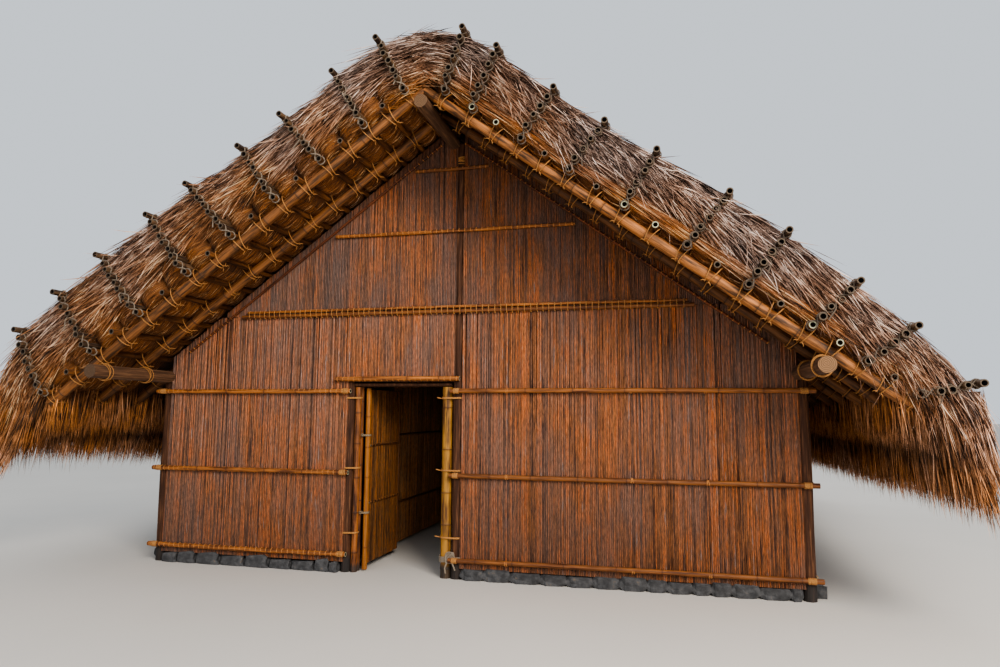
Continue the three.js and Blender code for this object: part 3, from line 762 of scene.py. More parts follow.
@field("rattan wraps", Spacing=0.058, Thickness=0.004, Ring_sides=10)
def wrap_rings(add, given):
    """Rings of split rattan spaced along rails. The base is the rails' lines with their radius stored."""
    lines = add("GeometryNodeMeshToCurve", {"Mesh": given["Geometry"]})
    spaced = add("GeometryNodeResampleCurve", {"Curve": lines, "Length": given["Spacing"]}, mode="LENGTH")
    facing = add(FACING, {"Vector": add("GeometryNodeInputTangent")}, axis="Z")
    askew = add(LUCK, {0: (-0.14, -0.14, 0), 1: (0.14, 0.14, 6.2), "Seed": 2}, **VECTOR)
    turned = add("FunctionNodeRotateRotation", [facing, add(TURN, [askew])], rotation_space="LOCAL")
    radius = add(FIELD, {"Name": "reach"})
    loop = add(CIRCLE, {"Resolution": given["Ring sides"], "Radius": 1.0})
    section = add(CIRCLE, {"Resolution": 4, "Radius": 0.14})
    ring = add("GeometryNodeCurveToMesh", {"Curve": loop, "Profile Curve": section})
    fat = add(MATH, [given["Thickness"], 6.0], **TIMES)
    wraps = add(ON_POINTS, {
        "Points": spaced, "Instance": ring, "Rotation": turned, "Scale": add(JOINED, [radius, radius, fat])})
    return toned(add, wraps, 3)


@field("rope strands", Radius=0.006, Spacing=0.02, Sides=6)
def rope_strands(add, given):
    """Strands of rope along drawn lines."""
    lines = toned(add, add("GeometryNodeMeshToCurve", {"Mesh": given["Geometry"]}), 3, "CURVE")
    spaced = add("GeometryNodeResampleCurve", {"Curve": lines, "Length": given["Spacing"]}, mode="LENGTH")
    section = add(CIRCLE, {"Resolution": given["Sides"], "Radius": given["Radius"]})
    return add("GeometryNodeCurveToMesh", {"Curve": spaced, "Profile Curve": section, "Fill Caps": True})


@field("forms at places", Form="Object", Least_scale=0.9, Most_scale=1.1, Seed=0)
def forms_at_places(add, given):
    """Copies of one form at marked places, each turned as its place says, with a tone of its own."""
    form = add("GeometryNodeObjectInfo", {"Object": given["Form"]}, out="Geometry",
               transform_space="ORIGINAL")
    facing = add(TURN, [add(FIELD, {"Name": "turn"}, **VECTOR)])
    askew = add(LUCK, {0: (-0.05, -0.05, -0.2), 1: (0.05, 0.05, 0.2), "Seed": 5}, **VECTOR)
    turned = add("FunctionNodeRotateRotation", [facing, add(TURN, [askew])], rotation_space="LOCAL")
    scale = add(LUCK, {2: given["Least scale"], 3: given["Most scale"], "Seed": 7}, out=1)
    copies = add(ON_POINTS, {
        "Points": given["Geometry"], "Instance": form, "Rotation": turned, "Scale": scale})
    return toned(add, copies, given["Seed"])


@field("straws on a bed", Density=1000.0, Straws="Collection", Length=0.4, Width=0.008, Shortest=0.55,
       Longest=1.25, Spread=0.2, Tuft=0.4, Lift=0.2, Darkest=0.0, Straightest=0, Most_bent=4, Seed=0)
def straws_on_bed(add, given):
    """Loose straws on a bed. The bed stores which way they lie, and they gather in tufts and droop."""
    crowd = add(MATH, [given["Density"], add(FIELD, {"Name": "room"})], **TIMES)
    points = add("GeometryNodeDistributePointsOnFaces", {
        "Mesh": given["Geometry"], "Density": crowd, "Seed": given["Seed"]}, distribute_method="RANDOM")
    tuft = add(VECTORS, {0: wander(add, 6.0, 3.0), "Scale": given["Tuft"]}, operation="SCALE")
    any_way = add(LUCK, {0: (-1, -1, -1), 1: (1, 1, 1), "Seed": 1}, **VECTOR)
    stray = add(VECTORS, {0: any_way, "Scale": given["Spread"]}, operation="SCALE")
    rise = add(MATH, [given["Lift"], add(LUCK, {2: 0.2, 3: 1.8, "Seed": 2}, out=1)], **TIMES)
    lift = add(VECTORS, {0: points.node.outputs["Normal"], "Scale": rise}, operation="SCALE")
    way = add(FIELD, {"Name": "flow"}, **VECTOR)
    for part in (tuft, stray, lift):
        way = add(VECTORS, [way, part], **PLUS)
    lying = add(FACING, {"Vector": way}, axis="Z")
    sagging = add(LUCK, {0: (-0.8, -0.8, -1.6), 1: (0.8, 0.8, 0.2), "Seed": 6}, **VECTOR)
    down = add(VECTORS, [sagging, (0, 0, -0.3)], **PLUS)
    drooped = add(FACING, {"Rotation": lying, "Vector": down}, axis="Y", pivot_axis="Z")
    share = add(LUCK, {2: given["Shortest"], 3: given["Longest"], "Seed": 8}, out=1)
    long = add(MATH, [given["Length"], share], **TIMES)
    wide = add(MATH, [given["Width"], add(LUCK, {2: 0.6, 3: 1.2, "Seed": 9}, out=1)], **TIMES)
    forms = add("GeometryNodeCollectionInfo", {
        "Collection": given["Straws"], "Separate Children": True, "Reset Children": True})
    pick = add(LUCK, {4: given["Straightest"], 5: given["Most bent"], "Seed": 11}, out=2, data_type="INT")
    straws = add(ON_POINTS, {
        "Points": points, "Instance": forms, "Pick Instance": True, "Instance Index": pick,
        "Rotation": drooped, "Scale": add(JOINED, [wide, long, long])})
    return toned(add, straws, 12, least=given["Darkest"])


def line_mesh(name, lines):
    """A mesh of open lines, each a list of points with the radius it has to reach round."""
    points, edges, reach = [], [], []
    for path, radius in lines:
        first = len(points)
        points += [tuple(p) for p in path]
        edges += [(first + i, first + i + 1) for i in range(len(path) - 1)]
        reach += [radius] * len(path)
    mesh = bpy.data.meshes.new(name)
    mesh.from_pydata(points, edges, [])
    return marked(mesh, reach=reach)


def wrap_lines(name, lines, spacing=None, sides=10, material=None, thickness=None):
    return grow(name, wrap_rings, line_mesh(name, lines), {
        "Spacing": spacing or walls().wrap_step, "Thickness": thickness or walls().wrap, "Ring sides": sides,
        "Material": material or strand("rattan, reddened by smoke", "b87a42", 90.0)})


def rope_lines(name, paths, radius, spacing, sides, material):
    return grow(name, rope_strands, line_mesh(name, [(path, radius) for path in paths]), {
        "Radius": radius, "Spacing": spacing, "Sides": sides, "Material": material})


# Walls


def cane_field(name, span, foot, cap, material, depth=0.03, turn=None, **more):
    return grow(name, cane_row, None, {
        "From": span[0], "To": span[1], "Foot": foot, "Cap": cap, "Depth": depth, "Material": material,
        "Cane width": walls().cane, "Peak": 9.0, "Slope": 0.0, "Sides": 8, "Pieces": 5, **more}, turn=turn)


def plate_under_z():
    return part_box("wall_plate_left")[0].z - 0.0003


def quarter_turn(x):
    return Matrix.Translation((x, 0, 0)) @ Matrix.Rotation(pi / 2, 4, "Z")


class HOUSE_OT_cane_walls(bpy.types.Operator):
    """Upright canes of the front, the gables, the back and the sides."""

    bl_idname = "house.cane_walls"
    bl_label = "Cane walls"

    def execute(self, context):
        under_roof, coarse = {"Peak": 4.43, "Slope": SLOPE}, {"Sides": 6, "Pieces": 3}
        plain, foot, head, top = {**under_roof, **coarse}, WALL_FOOT_Z, WALL_HEAD_Z, GABLE_TOP_Z
        # CAD node, ends in X, foot, highest top, and what else is set for its canes
        rows = (("front_wall_left", (-PANEL_END_X, -1.092), foot, head, under_roof),
                ("front_wall_over_door", (-1.084, 0.0225), 1.852, head, {}),
                ("front_wall_right", (0.1115, 3.118), foot, head, under_roof),
                ("front_gable_left", (-2.557, 0.0225), head, top, under_roof),
                ("front_gable_right", (0.1115, 2.557), head, top, under_roof),
                ("back_wall_left", (-PANEL_END_X, 0.04), foot, top, plain),
                ("back_wall_right", (0.096, PANEL_END_X), foot, top, plain))
        for seed, (name, span, foot, cap, more) in enumerate(rows, 1):
            # Gable canes take the darker copy of the cane, which paints the shade under the roof.
            smoked, y = "gable" in name, PANEL_Y if name.startswith("back") else -PANEL_Y
            canes = cane_field(f"{name}_canes", span, foot, cap, house_cane(smoked), Seed=seed,
                               turn=Matrix.Translation((0, y, 0)), **more)
            settle(canes, "dark_cane" if smoked else "cane", [name])
        for side, word in SIDES:
            canes = cane_field(f"{word}_wall_canes", (-3.735, 3.735), WALL_FOOT_Z, plate_under_z(),
                               house_cane(), Seed=10 + side, turn=quarter_turn(side * 3.193), **coarse)
            settle(canes, "cane", [f"{word}_wall"])
        return {"FINISHED"}


def front_rails():
    """CAD node, ends in X, height and radius of each front rail."""
    rows = [(f"front_{word}_rail_{hand}", *ends, z, RAIL_R) for word, z in zip(("low", "mid", "high"), RAIL_Z)
            for hand, ends in (("left", (-3.27, -1.034)), ("right", (0.007, 3.27)))]
    return rows + [("door_head_rail", -1.203, 0.097, 1.877, RAIL_R),
                   ("gable_mid_rail", -1.25, 1.22, GABLE_RAIL_Z[0], GABLE_RAIL_R),
                   ("gable_top_rail", -0.395, 0.37, GABLE_RAIL_Z[1], GABLE_RAIL_R)]


def wall_rails():
    """Lines of the rails on the back and the sides."""
    y, x = RAIL_FACE_Y + 0.0195, 3.2275
    reach = (3.15, 3.15, 3.15, 2.3, 1.25, 0.38)
    rows = [((-end, y, z), (end, y, z)) for end, z in zip(reach, (*RAIL_Z, 2.544, *GABLE_RAIL_Z))]
    return rows + [((side * x, -3.74, z), (side * x, 3.74, z)) for side in (-1, 1) for z in RAIL_Z]


def double_rail(finishes):
    """Two thin rails at the foot of the gable, stitched together."""
    shape, stitches = Shape(), []
    for i, (x, z, radius) in enumerate(((2.29, 2.532, 0.019), (2.23, 2.577, 0.014))):
        y = -RAIL_FACE_Y - radius
        bamboo(shape, (-x, y, z), (x, y, z), radius, 150 + i, bow=0.003, step=0.5)
    settle(shape.piece("gable_low_rail_culms", finishes), "bamboo", ["gable_low_rail"])
    y = -RAIL_FACE_Y - 0.017
    for k in range(76):
        x = -2.2 + 4.4 * k / 75 + 0.004 * sin(k)
        stitches.append([(x, y - 0.024 * sin(a), 2.552 - 0.046 * cos(a)) for a in turns(10)])
    settle(rope_lines("gable_low_rail_stitches", stitches, 0.0042, 0.03, 4, lashing()), "bamboo")


def gable_trims(wraps):
    """Thin poles along the roof line, and their wraps."""
    dark = pole_finishes("bamboo, smoked trim", "6e3a1c", "2c170c", 0.5)
    for side, word in SIDES:
        shape, y = Shape(), -RAIL_FACE_Y - 0.012
        a, b = ((side * x, y, 4.322 - SLOPE * x) for x in (2.9, 0.13))
        bamboo(shape, a, b, 0.013, 160 + side, sides=8, step=0.45)
        settle(shape.piece(f"gable_trim_{word}_culm", dark), "bamboo", [f"gable_trim_{word}"])
        wraps.append(((a, b), 0.013))


class HOUSE_OT_rails(bpy.types.Operator):
    """Bamboo rails across the canes, the gable trims and the rattan that wraps them."""

    bl_idname = "house.rails"
    bl_label = "Bamboo rails"

    def execute(self, context):
        finishes = pole_finishes("bamboo, thin and reddened", "9a5f2c", "4a2712", 0.55)
        wraps = []
        for i, (name, x0, x1, z, radius) in enumerate(front_rails()):
            y = -RAIL_FACE_Y - radius
            shape = Shape()
            bamboo(shape, (x0, y, z), (x1, y, z), radius, 100 + i, bow=0.006, step=0.4)
            settle(shape.piece(f"{name}_culm", finishes), "bamboo", [name])
            ends = [(x0 + 0.03, x1 - 0.03)]
            if name.endswith("rail_right"):
                ends = [(x0 + run, x0 + run + 0.015) for run in (0.55, 1.7, 2.35)]
            wraps += [(((a, y, z), (b, y, z)), radius + 0.001) for a, b in ends]
        double_rail(finishes)
        gable_trims(wraps)
        settle(wrap_lines("front_rail_wraps", wraps), "bamboo")
        shape = Shape()
        for i, (a, b) in enumerate(wall_rails()):
            bamboo(shape, a, b, RAIL_R, 200 + i, sides=10, bow=0.006, step=0.4)
        settle(shape.piece("back_and_side_rails", finishes), "bamboo")
        plain = [(row, RAIL_R + 0.001) for row in wall_rails()]
        settle(wrap_lines("back_and_side_rail_wraps", plain, 0.12, 7), "bamboo")
        return {"FINISHED"}


class HOUSE_OT_posts(bpy.types.Operator):
    """Round dark posts at the corners, beside the door, under the ridge and inside the side walls."""

    bl_idname = "house.posts"
    bl_label = "Posts"

    def execute(self, context):
        top = plate_under_z()
        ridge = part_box("front_centre_post")[1].z
        # CAD node, X, Y, height of the top, and radius at the foot and at the top
        rows = [(f"corner_post_{place}_{word}", side * CORNER_X, end * WALL_Y, top, 0.0577, 0.0577)
                for side, word in SIDES for end, place in ENDS]
        rows += [("front_centre_post", CENTRE_X, -WALL_Y, ridge, 0.058, 0.046),
                 ("back_centre_post", CENTRE_X, WALL_Y, ridge, 0.058, 0.04),
                 ("middle_ridge_post", 0, 0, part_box("middle_ridge_post")[1].z, 0.058, 0.04),
                 ("door_left_post", DOOR_POST[0], -WALL_Y, 1.847, 0.05, 0.05)]
        for i, (name, x, y, z, radius, end_radius) in enumerate(rows):
            shape = Shape()
            bar(shape, (x, y, 0), (x, y, z), radius, i / 12, 20, 0.006, 0.07, end_radius, i * 3)
            settle(shape.piece(f"{name}_timber", [timber()] * 2), "dark_post_timber", [name])
        shape = Shape()
        for side in (-1, 1):
            for y in (-1.267, 1.267):
                bar(shape, (side * 3.132, y, 0), (side * 3.132, y, top), 0.05, 0.3 + y / 9, 16, 0.006, 0.1)
        settle(shape.piece("side_wall_posts", [timber()] * 2), "dark_post_timber")
        return {"FINISHED"}


def hull_path(poles, z, gap, rounds, drop):
    """A line round several upright poles, pulled tight, as a rope goes."""
    spots = sorted({(round(x + (r + gap) * cos(a), 5), round(y + (r + gap) * sin(a), 5))
                    for x, y, r in poles for a in turns(24)[:-1]})

    def half(points):
        out = []
        for p in points:
            while len(out) > 1 and (out[-1][0] - out[-2][0]) * (p[1] - out[-2][1]) <= \
                    (out[-1][1] - out[-2][1]) * (p[0] - out[-2][0]):
                out.pop()
            out.append(p)
        return out[:-1]

    ring = half(spots) + half(spots[::-1])
    count = len(ring) * rounds
    return [(*ring[i % len(ring)], z + drop * i / count) for i in range(count + 1)]


def jamb_ties():
    right, paths = [JAMB_RIGHT, CENTRE_POST], []
    for poles in ([DOOR_POST, JAMB_LEFT], right):
        for z in (1.685, 0.995, 0.37):
            paths.append(hull_path(poles, z, 0.006, 2, 0.014))
            end = Vector(paths[-1][0])
            paths.append([end, end + Vector((-0.05, -0.02, 0.012))])
    settle(rope_lines("jamb_ties", paths, 0.0055, 0.02, 6, lashing()), "rattan_rope")
    knots = [hull_path(right, 0.155, 0.01, 4, 0.05)]
    luck = random.Random(5)
    for k in range(4):
        knots.append([(0.02 + 0.045 * cos(a) * (1 - k * 0.1) + luck.uniform(-0.004, 0.004),
                       -WALL_Y - 0.075 - 0.006 * sin(2 * a + k),
                       0.2 + 0.05 * sin(a + 0.6 * k)) for a in turns(18, 6.6)])
    knots.append([(0.0, -3.885, 0.16), (-0.02, -3.9, 0.11), (-0.01, -3.9, 0.06)])
    knots.append([(0.04, -3.885, 0.17), (0.07, -3.9, 0.12), (0.08, -3.895, 0.09)])
    settle(rope_lines("jamb_foot_knot", knots, 0.0075, 0.015, 6, bast()), "rattan_rope")
    y = -RAIL_FACE_Y - RAIL_R
    wraps = [(((x, y, z), (x + step, y, z)), 0.026)
             for z in RAIL_Z for x, step in ((-3.215, 0.055), (3.15, 0.055), (-1.11, 0.045), (0.045, 0.045))]
    settle(wrap_lines("rail_end_lashings", wraps, 0.009, 12, lashing(), 0.0065), "rattan_rope")
    line = ((CENTRE_X, -WALL_Y, 4.04), (CENTRE_X, -WALL_Y, 4.1))
    settle(wrap_lines("centre_post_lashing", [(line, 0.05)], 0.011, 14, lashing(), 0.007), "rattan_rope")


class HOUSE_OT_doorway(bpy.types.Operator):
    """Lintel, the bamboo jambs on both sides, and the light rattan ties that hold them to the posts."""

    bl_idname = "house.doorway"
    bl_label = "Doorway"

    def execute(self, context):
        low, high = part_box("door_lintel")
        middle, tall = (low + high) / 2, high.z - low.z
        shape = Shape()
        bar(shape, (low.x, middle.y, middle.z), (high.x, middle.y, middle.z), tall / 2, 0.7, 16, 0.003, 0.05)
        widen = (high.y - low.y) / tall
        shape.points = [(x, middle.y + (y - middle.y) * widen, z) for x, y, z in shape.points]
        settle(shape.piece("door_lintel_timber", [timber()] * 2), "dark_post_timber", ["door_lintel"])
        red = pole_finishes("bamboo, handled and reddened", "8a5224", "3d2110", 0.65, 0.09)
        yellow = pole_finishes("yellow bamboo, blotched", times(colours().yellow, 0.8), "50321a", 0.6, 0.14)
        jambs = (("left", JAMB_LEFT, red, "bamboo"), ("left_back", JAMB_BACK, red, "bamboo"),
                 ("right", JAMB_RIGHT, yellow, "yellow_bamboo"))
        for i, (word, (x, y, radius), finishes, slot) in enumerate(jambs):
            name = f"door_jamb_{word}"
            shape = Shape()
            bamboo(shape, (x, y, 0.0), (x, y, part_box(name)[1].z), radius, 301 + i, sides=20, bow=0.0)
            settle(shape.piece(f"{name}_culm", finishes), slot, [name])
        jamb_ties()
        return {"FINISHED"}


class HOUSE_OT_door(bpy.types.Operator):
    """Door leaf of reeds on its hinge pole, and the rope loops that it turns in."""

    bl_idname = "house.door"
    bl_label = "Door"

    def execute(self, context):
        (near, far), x, palette = LEAF_Y, HINGE_X, colours()
        low, high, rails = 0.06, 1.785, (0.65, 1.215)
        reeds = cane("reed, oiled by hands", palette.reed, times(palette.reed, 0.6),
                     times(palette.cane_dark, 0.9), 0.25)
        leaf = cane_field("door_leaf_reeds", LEAF_Y, low, high, reeds, 0.014, quarter_turn(x), Seed=31,
                          **{"Cane width": walls().reed})
        settle(leaf, "reed", ["door_leaf"], "door")
        shape = Shape()
        for i, z in enumerate(rails):
            bamboo(shape, (x + 0.012, near - 0.008, z), (x + 0.012, far + 0.003, z), 0.009, 320 + i, sides=8,
                   step=0.3)
        bamboo(shape, (x, far + 0.003, low), (x, far + 0.003, high), 0.011, 323, sides=8)
        finishes = pole_finishes("bamboo, thin door rail", "5a3518", "2c190c", 0.4)
        settle(shape.piece("door_leaf_rails", finishes), "reed", body="door")
        shape = Shape()
        bamboo(shape, (x, HINGE_Y, 0.012), (x, HINGE_Y, 1.79), 0.0262, 324, sides=20, bow=0.0, step=0.3)
        bright = pole_finishes("yellow bamboo, bright", "a86c2c", "6a3a16", 0.4)
        settle(shape.piece("door_hinge_pole_culm", bright), "yellow_bamboo", ["door_hinge_pole"], "door")
        wraps = [(((x + 0.008, near + 0.03, z), (x + 0.008, far, z)), 0.013) for z in rails]
        settle(wrap_lines("door_leaf_wraps", wraps, 0.07, 8), "rattan_rope", body="door")
        for word, z in (("lower", 0.56), ("upper", 1.32)):
            loop = hull_path([JAMB_BACK, (x, HINGE_Y, 0.0275)], z - 0.009, 0.005, 3, 0.018)
            knot = [(LOOP_KNOT[0] + 0.012 * cos(a), LOOP_KNOT[1] + 0.008 * sin(2 * a), z + 0.014 * sin(a))
                    for a in turns(13, 9.1)]
            settle(rope_lines(f"hinge_loop_{word}_rope", [loop, knot], 0.0036, 0.008, 6,
                              strand("cotton cord, knotted", "8a7a62", 110.0)), "rattan_rope",
                   [f"hinge_loop_{word}"])
        return {"FINISHED"}


class HOUSE_OT_partition(bpy.types.Operator):
    """Reed partition behind the open door."""

    bl_idname = "house.partition"
    bl_label = "Partition"

    def execute(self, context):
        low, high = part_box("inner_partition")
        near, far = low.y + 0.03, high.y - 0.03
        reeds = cane_field("inner_partition_reeds", (near, far), 0.03, 2.1,
                           cane("reed, dusty", "b07c48", "8a6a50", "5a3a20", 0.4), 0.018,
                           quarter_turn(PARTITION_X), Seed=41, **{"Cane width": walls().reed})
        settle(reeds, "reed", ["inner_partition"])
        shape = Shape()
        for i, z in enumerate((0.5, 1.285, 2.06)):
            x = PARTITION_X + 0.014
            bamboo(shape, (x, near, z), (x, far, z), 0.0125, 340 + i, sides=10)
        for i, y in enumerate((near, far)):
            bamboo(shape, (PARTITION_X, y, 0), (PARTITION_X, y, high.z), 0.03, 344 + i, sides=12)
        finishes = pole_finishes("bamboo, sun-cured", colours().bamboo, colours().bamboo_dark, 0.35)
        settle(shape.piece("inner_partition_culms", finishes), "reed")
        return {"FINISHED"}


class HOUSE_OT_logs(bpy.types.Operator):
    """Ridge pole and wall plates: peeled logs with sawn ends, and rattan loops round the plates."""

    bl_idname = "house.logs"
    bl_label = "Logs"

    def execute(self, context):
        # A log's tone also sets how dark its sawn end is painted: the left plate's end in painted shade, the
        # right one's lit.
        loops, logs = [], (("ridge_pole", 0.5), ("wall_plate_left", 0.25), ("wall_plate_right", 0.9))
        for i, (name, tone) in enumerate(logs):
            low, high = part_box(name)
            x, z, radius = (low.x + high.x) / 2, (low.z + high.z) / 2, (high.z - low.z) / 2
            shape = Shape()
            bar(shape, (x, low.y, z), (x, high.y, z), radius, tone, 28, 0.004, 0.09, seed=i * 5)
            settle(shape.piece(f"{name}_log", [log_side(), log_end()]), "log", [name])
            for end, reach, k in ((e, r, k) for e in (-1, 1) for r in (4.77, 4.24) for k in range(3) if i):
                wide, skew = radius + 0.01 + 0.004 * k, 0.025 * (k - 1)
                loops.append([(x + wide * cos(a), end * reach + 0.008 * k + skew * sin(a + k),
                               z + wide * sin(a)) for a in turns(24)])
        settle(rope_lines("plate_loops", loops, 0.0036, 0.025, 5, lashing()), "rattan_rope")
        return {"FINISHED"}


def stone(shape, centre, half, seed):
    """A broken stone: a ball of 80 faces, squared off and knocked uneven, that goes no deeper than the
    ground."""
    ball = bmesh.new()
    bmesh.ops.create_icosphere(ball, subdivisions=2, radius=1)
    spots = []
    for vert in ball.verts:
        p = Vector([copysign(abs(c) ** 0.5, c) for c in vert.co])
        p *= 1 + 0.4 * noise.noise(p * 1.1 + Vector((seed * 3.7, 0, 0))) \
            + 0.2 * noise.noise(p * 2.6 + Vector((seed, 0, 0)))
        p = Vector([c * reach for c, reach in zip(p, half)]) + centre
        spots.append((p.x, p.y, max(p.z, 0.001)))
    ring = shape.ring(spots, random.Random(seed).random())
    for face in ball.faces:
        shape.face([ring[v.index] for v in face.verts], [(0, 0), (0.1, 0), (0.1, 0.1)])
    ball.free()


class HOUSE_OT_stones(bpy.types.Operator):
    """Dry-set stones in rows under the walls."""

    bl_idname = "house.stones"
    bl_label = "Stones"

    def execute(self, context):
        for i, word in enumerate(("front_left", "front_right", "back_left", "back_right", "left", "right")):
            name = f"stones_{word}"
            low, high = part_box(name)
            lengthwise = 1 if word in ("left", "right") else 0
            luck, shape = random.Random(400 + i), Shape()
            at, end = low[lengthwise], high[lengthwise]
            while at < end - 0.06:
                length = min(luck.uniform(0.13, 0.3), end - at)
                tall = luck.uniform(0.085, 0.118)
                half = [length / 2, 0.072 * luck.uniform(0.85, 1.0), tall * 0.62]
                centre = Vector(((low.x + high.x) / 2, (low.y + high.y) / 2, tall - half[2]))
                centre[lengthwise] = at + length / 2
                if lengthwise:
                    half[0], half[1] = half[1], half[0]
                stone(shape, centre, half, 400 + i * 60 + len(shape.points) // 600)
                at += length * 0.97
            settle(shape.piece(f"stone_row_{word}", [rubble()], 0), "field_stone", [name])
        return {"FINISHED"}


# Roof frame


def roof_point(side, x, lift=0.0):
    """A point over the rafters' middle line, lift metres out from it."""
    return side * (x + lift * sin(ANGLE)), RAFTER_Z - SLOPE * x + lift * cos(ANGLE)


def down_slope(side):
    return Vector((side * cos(ANGLE), 0, -sin(ANGLE)))


def batten_rows(side):
    """Distance from the ridge of every batten: those that carry ties, and a plain one between each pair."""
    tied = BATTENS[side]
    return [(x, True) for x in tied] + [((a + b) / 2, False) for a, b in zip(tied, tied[1:]) if b - a > 0.3]


def lashings(side, word):
    down = down_slope(side)
    out = Vector((side * sin(ANGLE), 0, cos(ANGLE)))
    turn = Matrix((down.cross(out), down, out)).transposed().to_euler()
    forms = [lashing_form(full) for full in (True, False)]
    for name, form, rows in (("front", forms[0], (0, 1, 17, 18)), ("inner", forms[1], range(2, 17))):
        spots = []
        for i in rows:
            for place, _ in batten_rows(side):
                x, z = roof_point(side, place)
                spots.append((x, RAFTER_Y[i], z))
        mesh = bpy.data.meshes.new(f"lashing_places_{name}_{word}")
        mesh.from_pydata(spots, [], [])
        marked(mesh, turn=[c for _ in spots for c in turn])
        piece = grow(f"lashings_{name}_{word}", forms_at_places, mesh, {
            "Form": form, "Least scale": 0.96, "Most scale": 1.12, "Seed": 4, "Material": lashing()})
        settle(piece, "rattan_rope")
    for form in forms:
        bpy.data.objects.remove(form)


def lashing_form(full):
    """Two turns of rattan that spread from under the rafter to both sides of the batten, with short
    loose ends, or one turn for the hidden crossings."""
    shape = Shape()
    leans, steps, radius, sides = ((0.045, -0.045), 12, 0.0044, 5) if full else ((0.02,), 8, 0.0042, 3)
    for lean in leans:
        path = [(0.059 * sin(a), lean * (0.3 + 0.7 * (1 - cos(a)) / 2), 0.022 - 0.081 * cos(a))
                for a in turns(steps)]
        tube(shape, path, radius, sides)
        if full:
            tail = [(0.03, lean * 0.3, -0.054), (0.038, lean * 0.7, -0.062), (0.04, lean * 0.9, -0.074)]
            tube(shape, tail, [0.004, 0.003, 0.0015], 4, ends=("flat", "point"))
    return shape.piece("lashing_form", [lashing()] * 2, 0)


class HOUSE_OT_roof_frame(bpy.types.Operator):
    """Bamboo rafters and battens of both slopes, and the rattan lashings where they cross."""

    bl_idname = "house.roof_frame"
    bl_label = "Roof frame"

    def execute(self, context):
        finishes = pole_finishes("bamboo, sun-cured rafters", "966032", "3e2814", 0.7)
        # Inner rafters and battens take a darker copy of the bamboo: painted shade under the thatch.
        smoked = pole_finishes("bamboo, smoke-browned", "7a4e28", "36200f", 0.6)
        for side, word in SIDES:
            outer, inner = Shape(), Shape()
            for i, y in enumerate(RAFTER_Y):
                shape, sides = (outer, 16) if i in (0, 18) else (inner, 10)
                top = (side * 0.004, y, RAFTER_Z - 0.004)
                low = (side * RAFTER_END_X, y, RAFTER_Z - SLOPE * RAFTER_END_X)
                bamboo(shape, low, top, 0.049, 500 + i + 40 * side, sides=sides, ends=("open", "flat"),
                       bow=0.012, end_radius=0.044, step=0.36, rim=3)
            settle(outer.piece(f"verge_rafters_{word}", finishes), "bamboo", [f"roof_frame_{word}"])
            settle(inner.piece(f"rafters_{word}", smoked), "bamboo")
            shape = Shape()
            for i, (place, tied) in enumerate(batten_rows(side)):
                x, z = roof_point(side, place, BATTEN_LIFT)
                end = BATTEN_END_Y + (0.02 if tied else random.Random(i).uniform(-0.01, 0.04))
                bamboo(shape, (x, -end, z), (x, end, z), 0.029 if tied else 0.027, 600 + i + 40 * side,
                       sides=9, bow=0.01, step=0.42, rim=1 if side > 0 and i % 3 == 1 else 3)
            settle(shape.piece(f"battens_{word}", smoked), "bamboo")
            lashings(side, word)
        return {"FINISHED"}


# Thatch


def outer_line(points, count):
    """The roof's outer line as a smooth curve through its drawn points, from the ridge to the eave."""
    last = len(points) - 1
    line = []
    for i in range(count + 1):
        k = min(int(last * i / count), last - 1)
        t = last * i / count - k
        p0, p1, p2, p3 = (Vector(points[min(max(k + j, 0), last)]) for j in (-1, 0, 1, 2))
        v0, v1 = (p2 - p0) / 2, (p3 - p1) / 2
        line.append((2 * p1 - 2 * p2 + v0 + v1) * t ** 3 + (2 * p2 + p2 - 3 * p1 - 2 * v0 - v1) * t ** 2
                    + v0 * t + p1)
    return line


def low_z(x):
    """Height of the underside of the thatch, x from the ridge."""
    return THATCH_LOW_Z - SLOPE * x


def neighbours(values, share):
    """Two neighbours in a list and how far it is from one to the other, at a share of the list's length."""
    place = share * (len(values) - 1)
    k = min(int(place), len(values) - 2)
    return values[k], values[k + 1], place - k


class Section:
    """The thatch of one slope in cross section: u runs from ridge to eave, w from underside to outside."""

    def __init__(self, side):
        self.side = side
        self.line = outer_line(THATCH_LINE[side], 60)
        self.line.append(Vector((self.line[-1].x, low_z(EAVE_X))))
        self.run = [0.0]
        for a, b in zip(self.line, self.line[1:]):
            self.run.append(self.run[-1] + (b - a).length)

    def at(self, u, w):
        """X and Z of a spot in the section."""
        x = 0.0002 + u * (EAVE_X - 0.0002)
        a, b, part = neighbours(self.line, u)
        spot = Vector((x, low_z(x))).lerp(a.lerp(b, part), w)
        return Vector((self.side * spot.x, spot.y))

    def flow(self, u, w):
        """Which way the straws lie there: down the slope, and straight down where they bend over the eave."""
        a, b = self.at(max(u - 0.02, 0), w), self.at(min(u + 0.02, 1), w)
        along = Vector((b.x - a.x, 0, b.y - a.y)).normalized()
        return along.lerp(Vector((self.side * 0.08, 0, -1)), max(0.0, (u - 0.76) / 0.24) ** 1.3).normalized()

    def out(self, u):
        flow = self.flow(u, 1)
        return Vector((-flow.z * self.side, 0, flow.x * self.side))

    def height(self, x):
        """Height of a pole that lies on the thatch, half sunk in."""
        for a, b in zip(self.line, self.line[1:]):
            if a.x <= x <= b.x:
                return a.y + (b.y - a.y) * (x - a.x) / (b.x - a.x) - 0.015
        raise RuntimeError("an outer pole lies beyond the eave")

    def length(self, u):
        """Distance from the ridge along the outside."""
        a, b, part = neighbours(self.run, u)
        return a + (b - a) * part


def stack_lines(section):
    """Both ends of each tie in the verge plane: its batten and its pole on the thatch."""
    side = section.side
    return [(Vector(roof_point(side, place, BATTEN_LIFT)), Vector((side * outer, section.height(outer))))
            for place, outer in zip(BATTENS[side], OUTER_POLES[side])]


